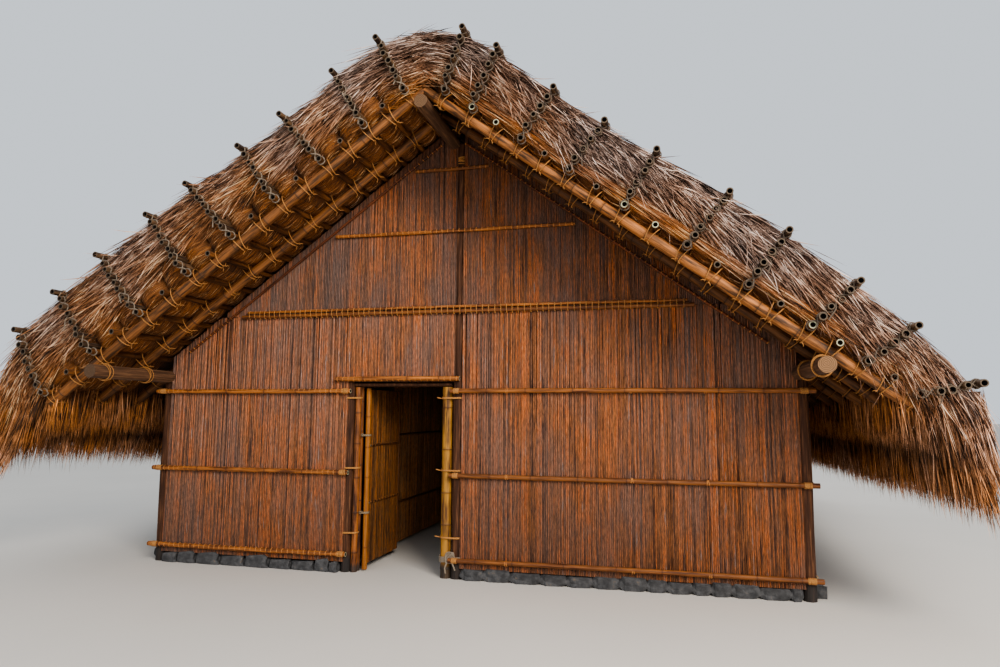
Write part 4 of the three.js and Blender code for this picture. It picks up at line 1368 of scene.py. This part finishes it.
def beside_stack(lines, spot, reach=0.08):
    """1 on a tie, falling to 0 at its reach."""
    nearest = reach
    for a, b in lines:
        across = b - a
        t = max(0.0, min(1.0, (spot - a).dot(across) / across.length_squared))
        nearest = min(nearest, (spot - a - across * t).length)
    return 1 - nearest / reach


def swell(section, u, y):
    """How far the outside bulges or is pressed in: lumps, courses of bundles, and grooves under the poles."""
    spot = section.at(u, 1)
    lumps = 0.028 * noise.noise(Vector((spot.x * 1.6, y * 1.3, spot.y * 1.6)))
    lumps += 0.014 * noise.noise(Vector((spot.x * 5, y * 5, spot.y * 5)))
    course = 0.026 * (section.length(u) / COURSE % 1.0 - 0.5)
    press = sum(0.03 * exp(-((abs(spot.x) - x) / 0.05) ** 2) for x in OUTER_POLES[section.side])
    near_ridge = min(1.0, section.length(u) / 0.3)
    return lumps * near_ridge + (course - press) * near_ridge - 0.012


def closed_skin(name, places, counts, material):
    """Closed skins round blocks of cells. place(i, j, m) gives a corner, its depth, its run down the slope
    and its distance across."""
    ni, nj, nm = counts
    mesh, facts = bmesh.new(), []
    for place in places:
        index = {}

        def corner(i, j, m):
            if (i, j, m) not in index:
                spot, *about = place(i, j, m)
                index[i, j, m] = mesh.verts.new(spot)
                facts.append(about)
            return index[i, j, m]

        cells = [((i, j, m), (1, 0, 0), (0, 1, 0)) for i in range(ni) for j in range(nj) for m in (0, nm)]
        cells += [((i, j, m), (1, 0, 0), (0, 0, 1)) for i in range(ni) for j in (0, nj) for m in range(nm)]
        cells += [((i, j, m), (0, 1, 0), (0, 0, 1)) for i in (0, ni) for j in range(nj) for m in range(nm)]
        for (i, j, m), (a, b, c), (d, e, f) in cells:
            mesh.faces.new([corner(i, j, m), corner(i + a, j + b, m + c),
                            corner(i + a + d, j + b + e, m + c + f), corner(i + d, j + e, m + f)])
    bmesh.ops.recalc_face_normals(mesh, faces=mesh.faces)
    made = bpy.data.meshes.new(name)
    mesh.to_mesh(made)
    mesh.free()
    made.materials.append(material)
    depth, down, across = zip(*facts)
    return stand(name, marked(made, depth=depth, down=down, across=across), 60)


def batten_spans(side):
    """Neighbouring battens in pairs, by their distances from the ridge."""
    rows = [0.03, *sorted(x for x, _ in batten_rows(side)), EAVE_X - 0.01]
    return list(zip(rows, rows[1:]))


def bulge_at(q):
    """How far a bundle between two battens bulges, part way from one to the other."""
    return sin(pi * min(max(q, 0.0), 1.0)) ** 0.6


def pad(side, end, a, b):
    """A bundle of straw held between two battens: it bulges under the overhang and round onto the verge."""

    def place(i, j, m):
        bulge, x = bulge_at(i / 8), a + (b - a) * i / 8
        k = max(0.0, (m - 6) / 8)
        lift = 0.108 - 0.05 * bulge + (0.24 + 0.05 * bulge) * k ** 1.2 + 0.05 * j
        rounded = sin(pi / 2 * min(1.0, k / 0.35))
        y = -0.97 + 0.83 * min(m / 6, 1.0) + (0.04 + 0.09 * bulge) * rounded
        x, z = roof_point(side, x, lift)
        return (x, end * (VERGE_Y + y - 0.06 * j), z), 0.0, x, 0.09 * m + 0.07 * a

    return place


def roll_body(spot, end):
    """A long roll under its straws, thinner at both ends."""

    def place(i, j, m):
        (x, y, z), _, depth = spot(i / 60, m / 8)
        thin = 0.012 + 0.03 * max(0.0, 1 - min(i, 60 - i) / 3)
        return (x, y - end * (thin + 0.05 * j), z), depth, x, 0.02 * m

    return place


def thatch_slope(side):
    """Places on one slope: lumpy outside, and drawn in at the verges."""
    section = Section(side)

    def place(i, j, m):
        u, w, y = i / 88, j / 4, -VERGE_Y + 2 * VERGE_Y * m / 100
        spot = section.at(u, w)
        out = section.out(u) * (swell(section, u, y) * w)
        edge = max(0.0, 1 - min(m, 100 - m) / 4)
        lift = (spot.y - low_z(abs(spot.x))) * cos(ANGLE)
        inset = 0.03 * noise.noise(Vector((spot.x * 3, spot.y * 3, copysign(1, y)))) - 0.03
        inset = (inset - 0.09 * min(1.0, max(0.0, (0.4 - lift) / 0.12))) * edge
        y += inset if m > 50 else -inset
        return (spot.x + out.x, y, spot.y + out.z), w * (1 - 0.5 * edge), section.length(u), y

    return place


def fringe_core(side):
    """Places in the hanging fringe's core, from its root to where only straws are left."""
    end, low = Section(side).line[-2], low_z(EAVE_X)
    bulge = Vector(FRINGE_BULGE[side])
    foot = bulge.lerp(Vector(FRINGE_TIP[side]), 0.4)
    outer = [Vector((end.x - 0.03, low + 0.02)), bulge - Vector((0.1, 0)), foot - Vector((0.14, 0))]
    inner = [Vector((EAVE_X + 0.01, low + 0.01)), Vector((EAVE_X + 0.1, 1.5)), foot - Vector((0.2, 0))]

    def place(i, j, m):
        y = (-VERGE_Y + 2 * VERGE_Y * m / 60) * 0.995
        spot = inner[i].lerp(outer[i], j / 2)
        wave = 0.02 * noise.noise(Vector((y * 2, i, side)))
        return (side * (spot.x + wave), y, spot.y + wave), 0.15, i * 0.3, y

    return place


class HOUSE_OT_thatch(bpy.types.Operator):
    """Packed thatch of both slopes, the bundles and rolls under it, and the cores of the hanging fringes."""

    bl_idname = "house.thatch"
    bl_label = "Packed thatch"

    def execute(self, context):
        tied = packed("sword grass, tied bundles", (210, 60, 5.0), (1.1, 0.8, 2.0))
        for side, word in SIDES:
            settle(closed_skin(f"thatch_{word}_bundles", [thatch_slope(side)], (88, 4, 100), packed()),
                   "thatch", [f"thatch_{word}"])
            settle(closed_skin(f"eave_fringe_{word}_core", [fringe_core(side)], (2, 2, 60), packed()),
                   "thatch_fringe", [f"eave_fringe_{word}"])
            pads = [pad(side, end, a, b) for end in (-1, 1) for a, b in batten_spans(side)]
            settle(closed_skin(f"thatch_{word}_pads", pads, (8, 1, 14), tied), "thatch")
        long = [roll_body(spot, end) for end in (-1, 1) for spot in rolls(1, end)]
        settle(closed_skin("thatch_right_rolls", long, (60, 1, 8), tied), "thatch")
        return {"FINISHED"}


def bed(name, patches, rows, columns, outward):
    """Grids that straws grow from. A patch(s, t), each from 0 to 1, gives place, flow and depth, and how much
    room the straws have."""
    points, flows, depths, rooms, faces = [], [], [], [], []
    wide = columns + 1
    for spot in patches if isinstance(patches, list) else [patches]:
        first = len(points)
        for i in range(rows + 1):
            for j in range(columns + 1):
                place, flow, depth, *room = spot(i / rows, j / columns)
                points.append(tuple(place))
                flows += [*flow]
                depths.append(depth)
                rooms.append(room[0] if room else 1.0)
        faces += [(a, a + wide, a + wide + 1, a + 1)
                  for i in range(rows) for a in range(first + i * wide, first + i * wide + columns)]
    mesh = bpy.data.meshes.new(name)
    mesh.from_pydata(points, [], faces)
    marked(mesh, flow=flows, depth=depths, room=rooms).update()
    if sum(p.normal.dot(Vector(outward)) for p in mesh.polygons) < 0:
        mesh.flip_normals()
    return mesh


def straw_forms():
    """Bent straws of unit length, three-sided and pointed at both ends: five of six faces each, and three
    that curl, of nine."""
    group = bpy.data.collections.get("straw_forms")
    if group:
        return group
    group = bpy.data.collections.new("straw_forms")
    for k, bend in enumerate((0.02, 0.06, 0.12, 0.2, -0.06, 0.3, 0.42, -0.28)):
        shape = Shape()
        heights = (0.45,) if k < 5 else (0.3, 0.68)
        foot, tip = shape.ring([(0, 0, 0), (0, bend, 1.0)])
        rings = [shape.ring([(0.5 * cos(a), bend * h ** 1.5 + 0.01 * sin(a), h)
                             for a in (2.0944 * j for j in range(3))]) for h in heights]
        for j in range(3):
            n = (j + 1) % 3
            shape.face([foot, rings[0][n], rings[0][j]], [(0, 0)] * 3)
            shape.face([rings[-1][j], rings[-1][n], tip], [(0, 0)] * 3)
            if k > 4:
                shape.face([rings[0][j], rings[0][n], rings[1][n], rings[1][j]], [(0, 0)] * 4)
        made = shape.piece(f"straw_form_{k}", [stalk()], 0)
        for label in ("tone", "mark"):
            made.data.attributes.remove(made.data.attributes[label])
        made.data.uv_layers.remove(made.data.uv_layers[0])
        bpy.context.scene.collection.objects.unlink(made)
        group.objects.link(made)
    return group


def straws(name, grown, density, length, slot="thatch", width=1.0, spread=0.06, tuft=0.06, lift=0.0, seed=0,
           part=(0.55, 1.25), kind="loose"):
    """Grows straws on a bed and hands them to the frame. Stray ones are pale and curl, bundled ones are
    straight."""
    straightest, most_bent = {"loose": (0, 2), "bundled": (0, 1), "stray": (3, 7)}[kind]
    thin = 1.0
    finish_of = stalk()
    if slot == "thatch_fringe":
        finish_of = stalk("sword grass, hanging stalks", "9c6636", True)
    elif kind == "bundled":
        finish_of = stalk("sword grass, bundled stalks", "9c602c", False, 0.08)
    settle(grow(name, straws_on_bed, bed(f"{name}_bed", *grown), {
        "Density": float(density) * thin, "Straws": straw_forms(), "Length": length,
        "Width": roof().straw_width * width, "Shortest": part[0], "Longest": part[1], "Spread": spread,
        "Tuft": tuft, "Lift": lift,
        "Darkest": 0.5 if kind == "stray" else 0.0, "Straightest": straightest, "Most bent": most_bent,
        "Seed": seed, "Material": finish_of}, smooth=0), slot)


def pillows(side, place):
    """Patches on the bundles between two battens. place(x, t, bulge) gives a spot on one."""

    def pillow(a, b):
        def on(q, t):
            return place(a + (b - a) * q, t, bulge_at(q))

        def spot(s, t):
            q = 0.02 + 0.56 * s
            here = on(q, t)
            return here, (on(q + 0.42, t) - here).normalized(), 0.0

        return spot

    return [pillow(a, b) for a, b in batten_spans(side)]


def rolls(side, end):
    """Patches round long rolls of straw that run down the verge beside the rafter."""

    def roll(lift, radius, first, last):
        def spot(s, t):
            a = radians(-80 + 160 * t)
            x, z = roof_point(side, first + (last - first) * s, lift + radius * sin(a))
            y = VERGE_Y - 0.02 + (radius + 0.012 * noise.noise(Vector((x * 3, lift, z * 3)))) * cos(a)
            return (x, end * y, z), down_slope(side), (0.12 if lift < 0.2 else 0.5) + 0.3 * t

        return spot

    return [roll(0.15, 0.05, 0.06, 3.68), roll(0.26, 0.055, 0.12, 1.5), roll(0.36, 0.05, 0.3, 1.1)]


def verge_straws(section, word, end, share):
    """Long weathered straws on the outer part, and rolls or pillows of sheltered straw further in. Share is
    how many straws it gets for a front one's."""
    sizes, lines, right = roof(), stack_lines(section), section.side > 0
    droop, start, bleached, sun = (0.3, 0.2, 0.62, 1.0) if right else (0.16, 0.27, 0.0, 0.9)

    def spot(s, t):
        u = 0.035 + 0.955 * s
        thick = (section.at(u, 1) - section.at(u, 0)).length
        first = (start + (0.2 * max(0.0, 1 - u / 0.24) if right else 0)) / thick
        w = first + (1.01 - first) * t
        at, flow = section.at(u, w), section.flow(u, w)
        out = section.out(u) * (swell(section, u, end * VERGE_Y) * max(w, 0))
        tied = beside_stack(lines, at)
        roll = 0.045 * noise.noise(Vector((at.x * 6, at.y * 6, end))) - 0.03 * tied
        hang = Vector((0, 0, -droop * (0.25 + w)))
        recess = 0.06 * max(0.0, 1 - t / 0.3) ** 1.5
        return ((at.x + out.x, end * (VERGE_Y - 0.005 + roll - recess), at.y + out.z),
                (flow + hang + section.out(u) * 0.1 * (0.5 - w)).normalized(),
                (bleached + (sun - bleached) * max(w, 0) ** 1.2)
                * (1 - 0.6 * max(0.0, (u - 0.74) / 0.26) - (0 if right else 0.45) * u),
                1 - 0.7 * tied)

    def roll(x, t, bulge):
        x, z = roof_point(section.side, x, 0.05 + 0.27 * t)
        return Vector((x, end * (VERGE_Y - 0.08 + 0.09 * bulge * min(1.0, t / 0.2) ** 0.5), z))

    outward, front = (0, end, 0), end < 0
    straws(f"verge_straws_{word}", (spot, 130, 10, outward), sizes.verge_straws * share, sizes.straw_length,
           width=0.72 if front else 1.2, spread=0.28, tuft=0.14 if right else 0.06, lift=0.04, seed=3 + end)
    straws(f"verge_strays_{word}", (lambda s, t: spot(s, 0.82 * t), 130, 8, outward),
           (1500 if right else 800) * share, 0.34, width=0.75, spread=0.4, tuft=0.6, lift=0.02, seed=7 + end,
           part=(0.5, 1.3), kind="stray")
    if right:
        straws(f"verge_rolls_{word}", (rolls(section.side, end), 70, 6, outward), 3200 * share, 0.34,
               width=0.7 if front else 1.1, seed=13 + end, kind="bundled")
    else:
        straws(f"verge_bundles_{word}", (pillows(section.side, roll), 6, 6, outward), 2200 * share, 0.14,
               width=0.6 if front else 1.1, seed=13 + end, part=(0.6, 1.15), kind="bundled")


def slope_straws(section, word):
    """Straws down the slope, and a dense row along its edges."""

    def spot(s, t):
        u, y = 0.02 + 0.965 * s, (2 * t - 1) * VERGE_Y
        at, out = section.at(u, 1), section.out(u)
        bulge = swell(section, u, y) - 0.012
        return (at.x + out.x * bulge, y, at.y + out.z * bulge), section.flow(min(u + 0.05, 1), 1), 1.0

    def edge(s, t):
        place, flow, _ = spot(s, t * 0.04)
        return place, (flow + Vector((0, -0.2, -0.1))).normalized(), 0.95

    outward = (section.side, 0, 1)
    straws(f"slope_straws_{word}", (spot, 70, 60, outward), roof().roof_straws, 0.5, width=1.8, spread=0.1,
           tuft=0.25, lift=0.03, seed=21)
    straws(f"verge_edge_straws_{word}", (edge, 70, 3, outward), roof().verge_straws * 0.8, 0.36, spread=0.1,
           tuft=0.2, seed=22)


def underside_straws(side, word):
    def belly(x, t, bulge):
        x, z = roof_point(side, x, 0.1 - 0.05 * bulge)
        return Vector((x, -VERGE_Y + 0.03 + 0.92 * t, z))

    straws(f"underside_straws_{word}", (pillows(side, belly), 6, 12, (0, 0, -1)), 1100, 0.14, width=0.7,
           seed=31, part=(0.7, 1.15), kind="bundled")


def fringe_straws(section, word):
    """An inner tier that ends level below the rafters, and a long ragged outer tier behind it."""
    side, end, count = section.side, section.line[-2], roof().fringe_straws
    bulge, tip = Vector(FRINGE_BULGE[side]), Vector(FRINGE_TIP[side])
    foot, drop = bulge.lerp(tip, 0.4), low_z(EAVE_X) - tip.y

    def spot(at, t, flow, depth):
        return (side * at.x, (2 * t - 1) * (VERGE_Y - 0.01), at.y), Vector(flow).normalized(), depth

    def inner(s, t):
        x = 3.62 + 0.26 * s
        at = Vector((x, low_z(min(x, EAVE_X)) - 0.01))
        return spot(at, t, (side * (0.1 + 0.1 * s), 0, -1), 0.1 + 0.1 * s)

    def outer(s, t):
        at = Vector((EAVE_X + 0.07, low_z(EAVE_X) + 0.02)).lerp(Vector((end.x - 0.03, end.y - 0.05)), s)
        at.y -= 0.17 * min(1.0, t / 0.2) if side < 0 else 0.0
        return spot(at, t, (side * (tip.x - at.x) * (0.45 + 0.4 * s), 0, tip.y - at.y), 0.1 + 0.3 * s)

    def skin(s, t):
        at = Vector((end.x - 0.01, end.y + 0.1)).lerp(bulge - Vector((0.03, 0)), s)
        return spot(at, t, (side * (tip.x - at.x + 0.03), 0, tip.y - at.y), 0.75 - 0.4 * s)

    def face(s, t):
        """The end of the fringe, seen from the front."""
        at = Vector((3.92, 1.66)).lerp(Vector((end.x - 0.02, end.y + 0.05)), s)
        at = at.lerp(Vector((4.0, 1.3)).lerp(foot - Vector((0.07, 0)), s), t)
        flow = Vector((side * (tip.x - at.x) * (0.3 + 0.6 * s), hand * 0.05, tip.y - at.y)).normalized()
        return (side * at.x, hand * (VERGE_Y - 0.015), at.y), flow, 0.1 + 0.3 * s * (1 - t)

    hanging = {"slot": "thatch_fringe", "spread": 0.07}
    straws(f"fringe_straws_inner_{word}", (inner, 5, 60, (0, 0, -1)), count * 0.5 / 0.26, 0.44, width=1.1,
           tuft=0.12, seed=41, part=(0.92, 1.05), **hanging)
    straws(f"fringe_straws_outer_{word}", (outer, 5, 60, (0, 0, -1)), count * 0.75 / 0.3, drop, width=1.1,
           tuft=0.2, seed=42, part=(0.72, 1.08), **hanging)
    for hand, place in ENDS:
        straws(f"fringe_straws_{place}_{word}", (face, 8, 8, (0, hand, 0)), roof().verge_straws * 1.2, 0.42,
               "thatch_fringe", spread=0.12, tuft=0.4, lift=0.03, seed=44 + hand)
    straws(f"fringe_straws_skin_{word}", (skin, 6, 60, (side, 0, 0)), count * 0.7 / 0.5, drop * 0.82,
           width=1.15, tuft=0.2, seed=43, part=(0.6, 1.1), **hanging)


def ridge_straws():
    """Straws that cross over the ridge both ways and hide where the slopes meet."""

    def arch(x, w):
        low, high = THATCH_LOW_Z - SLOPE * abs(x), 4.893 - 0.45 * x * x
        return low + (high - low) * w

    for hand, word in ((-1, "leftward"), (1, "rightward")):
        def lie(x, w):
            rise = (arch(x + 0.04, w) - arch(x - 0.04, w)) / 0.08 * (0.4 if x * hand < 0 else 1.0)
            return Vector((1.0, 0, rise)).normalized() * hand

        def front(s, t):
            x = hand * (0.56 * s - 0.4)
            least = 0.4 * min(1.0, max(0.0, x / 0.1)) - 0.07
            w = least + (1 - least) * t
            return (x, -VERGE_Y + 0.002, arch(x, w)), lie(x + hand * 0.08, w), max(w, 0)

        def top(s, t):
            x = hand * (0.56 * s - 0.4)
            return (x, (2 * t - 1) * VERGE_Y, arch(x, 1)), lie(x + hand * 0.12, 1), 1.0

        straws(f"ridge_straws_front_{word}", (front, 16, 10, (0, -1, 0)), roof().verge_straws * 0.6, 0.24,
               spread=0.25, tuft=0.6, lift=0.05, seed=51 + hand)
        straws(f"ridge_straws_top_{word}", (top, 10, 60, (0, 0, 1)), roof().roof_straws * 2, 0.32, width=1.7,
               spread=0.12, tuft=0.2, lift=-0.02, seed=53 + hand)


class HOUSE_OT_straws(bpy.types.Operator):
    """Loose straws on the verges, the slopes, the ridge, under the overhang and in the hanging fringe."""

    bl_idname = "house.straws"
    bl_label = "Straws"

    def execute(self, context):
        for side, word in SIDES:
            section = Section(side)
            for end, place, share in ((-1, "front", 1.0), (1, "back", 0.5)):
                verge_straws(section, f"{place}_{word}", end, share)
            slope_straws(section, word)
            underside_straws(side, word)
            fringe_straws(section, word)
        ridge_straws()
        return {"FINISHED"}


# Ties on the verge


def tie_stack(shape, ropes, start, outer, end, luck):
    """Pole ends in a row from the batten to the outer pole, two strands woven round them and a loose tail."""
    across = outer - start
    reach = across.length
    across.normalize()
    lean = Vector((-across.y, across.x))
    stubs = max(2, round(reach / 0.088) - 1)
    spots = [0.0, *(reach * (k + 1 + luck.uniform(-0.16, 0.16)) / (stubs + 1) for k in range(stubs)), reach]
    for s in spots[1:-1]:
        at = start + across * s + lean * luck.uniform(-0.01, 0.01)
        tip = end * (VERGE_Y + luck.uniform(0.12, 0.155))
        bamboo(shape, (at.x, tip, at.y), (at.x, end * (VERGE_Y - 0.3), at.y), luck.uniform(0.023, 0.031),
               luck.randrange(9999), ends=("open", "flat"), bow=0.0, step=0.4)
    y = end * (VERGE_Y + 0.09)
    for hand in (-1, 1):
        ropes.append(weave(start, across, lean, spots, y, hand))
    for middle, ring in ((outer, 0.035), (start, 0.036)):
        ropes.append([(middle.x + ring * cos(a), y - end * (0.05 + 0.002 * a),
                       middle.y + ring * sin(a)) for a in turns(14)])
    tail = start + across * (reach * luck.uniform(0.3, 0.7))
    ropes.append([(tail.x, y, tail.y), (tail.x + luck.uniform(-0.05, 0.05), y + end * 0.03, tail.y - 0.04),
                  (tail.x + luck.uniform(-0.08, 0.08), y + end * 0.02, tail.y - 0.12)])


def weave(start, across, lean, spots, y, hand):
    """A strand that goes round the pole ends on alternate sides."""
    path = []
    for k, (a, b) in enumerate(zip(spots, spots[1:])):
        for j in range(8):
            phase = j / 8
            swing = 0.03 * cos(pi * phase) * (-1) ** k * hand
            at = start + across * (a + (b - a) * phase) + lean * swing
            path.append((at.x, y + 0.01 * hand * sin(pi * phase), at.y))
    return path


class HOUSE_OT_verge_ties(bpy.types.Operator):
    """Poles laid on the thatch, the cut pole ends between them and the battens, and the rope round them."""

    bl_idname = "house.verge_ties"
    bl_label = "Verge ties"

    def execute(self, context):
        # The hollow finish is the inside of the culms, painted dark as shade.
        skin, _, hollow, grey = pole_finishes("bamboo, weathered outside", "6a5139", "2e1f15", 0.7,
                                              gloss=0.75)
        for side, word in SIDES:
            shape, ropes = Shape(), []
            for i, (start, outer) in enumerate(stack_lines(Section(side))):
                near, far = ((outer.x, end * OUTER_POLE_END_Y, outer.y) for end in (-1, 1))
                bamboo(shape, near, far, 0.028, 700 + i + 30 * side, bow=0.012, step=0.4)
                for end in (-1, 1):
                    tie_stack(shape, ropes, start, outer, end, random.Random(800 + i + 40 * side + 7 * end))
            settle(shape.piece(f"verge_poles_{word}", [skin, grey, hollow]), "bamboo")
            bound = rope_lines(f"verge_ropes_{word}", ropes, roof().rope, 0.019, 6, bast(side > 0))
            settle(bound, "rattan_rope")
        return {"FINISHED"}


def soft_lamp(name, place, target, panel, watts, shade, spread=180):
    """A soft lamp. A spread under 180 degrees keeps its light off the floor in front of it."""
    data = bpy.data.lights.new(name, "AREA")
    data.shape, data.energy, data.color = "RECTANGLE", watts, linear(shade)
    data.size, data.size_y = panel
    data.spread = radians(spread)
    lamp = bpy.data.objects.new(name, data)
    lamp.location = place
    lamp.rotation_euler = (Vector(target) - Vector(place)).to_track_quat("-Z", "Y").to_euler()
    bpy.context.scene.collection.objects.link(lamp)


def aim_camera(scene):
    ahead = Vector((-sin(YAW) * cos(PITCH), cos(YAW) * cos(PITCH), sin(PITCH)))
    right = Vector((cos(YAW), sin(YAW), 0))
    up = right.cross(ahead)
    tilted = right * cos(ROLL) + up * sin(ROLL)
    upright = up * cos(ROLL) - right * sin(ROLL)
    data = bpy.data.cameras.new("camera")
    data.sensor_width, data.lens = SENSOR_MM, FOCAL_PIXELS * SENSOR_MM / PHOTO_WIDTH
    data.clip_end = 600
    scene.camera = bpy.data.objects.new("camera", data)
    turned = Matrix((tilted, upright, -ahead)).transposed().to_4x4()
    scene.camera.matrix_world = Matrix.Translation(EYE) @ turned
    scene.collection.objects.link(scene.camera)


class HOUSE_OT_stage(bpy.types.Operator):
    """Studio floor, soft lights and the camera."""

    bl_idname = "house.stage"
    bl_label = "Stage"

    def execute(self, context):
        shape, half = Shape(), 150
        ring = shape.ring([(x * half, y * half, -0.001) for x, y in ((-1, -1), (1, -1), (1, 1), (-1, 1))])
        shape.face(ring, [(0, 0), (1, 0), (1, 1), (0, 1)])
        shape.piece("studio_floor", [painted_floor()])
        scene = context.scene
        scene.world = bpy.data.worlds.new("studio")
        scene.world.use_nodes = True
        back = scene.world.node_tree.nodes["Background"]
        back.inputs[0].default_value = (*linear("dfe6ee"), 1)
        back.inputs[1].default_value = 0.95
        scene.view_settings.look = "AgX - Medium High Contrast"
        soft_lamp("key", (7.5, -13, 8), (0.5, -3, 2.4), (5, 5), 1850, "fff6ec")
        soft_lamp("front", (3, -16, 3.6), (1.2, -4, 2.8), (9, 5.4), 214, "fff8f4", 120)
        soft_lamp("fill", (-11, -9, 6), (-1, -3, 2.2), (8, 8), 50, "eef3ff")
        soft_lamp("rim", (2, 12, 12), (0, 0, 3), (9, 9), 700, "ffffff")
        aim_camera(scene)
        return {"FINISHED"}


class HOUSE_PT_panel(bpy.types.Panel):
    """Lists the house's groups of pieces."""

    bl_label = "Thatched house"
    bl_idname = "HOUSE_PT_panel"
    bl_space_type = "VIEW_3D"
    bl_region_type = "UI"
    bl_category = "House"

    def draw(self, context):
        for group in GROUPS:
            settings = getattr(context.scene, group)
            for name in settings.__annotations__:
                self.layout.prop(settings, name)
        for operator in OPERATORS:
            self.layout.operator(operator.bl_idname)


GROUPS = {"house_walls": HouseWallSizes, "house_roof": HouseRoofSizes, "house_colours": HouseColours}
OPERATORS = (HOUSE_OT_stage, HOUSE_OT_posts, HOUSE_OT_logs, HOUSE_OT_stones, HOUSE_OT_cane_walls,
             HOUSE_OT_rails, HOUSE_OT_doorway, HOUSE_OT_door, HOUSE_OT_partition, HOUSE_OT_roof_frame,
             HOUSE_OT_thatch, HOUSE_OT_straws, HOUSE_OT_verge_ties)


def register():
    for made in (*GROUPS.values(), *OPERATORS, HOUSE_PT_panel):
        bpy.utils.register_class(made)
    for name, group in GROUPS.items():
        setattr(bpy.types.Scene, name, PointerProperty(type=group))


def unregister():
    for name in GROUPS:
        delattr(bpy.types.Scene, name)
    for made in (HOUSE_PT_panel, *OPERATORS[::-1], *GROUPS.values()):
        bpy.utils.unregister_class(made)


def main():
    register()
    for operator in OPERATORS:
        group, name = operator.bl_idname.split(".")
        getattr(getattr(bpy.ops, group), name)()


if __name__ == "__main__":
    main()
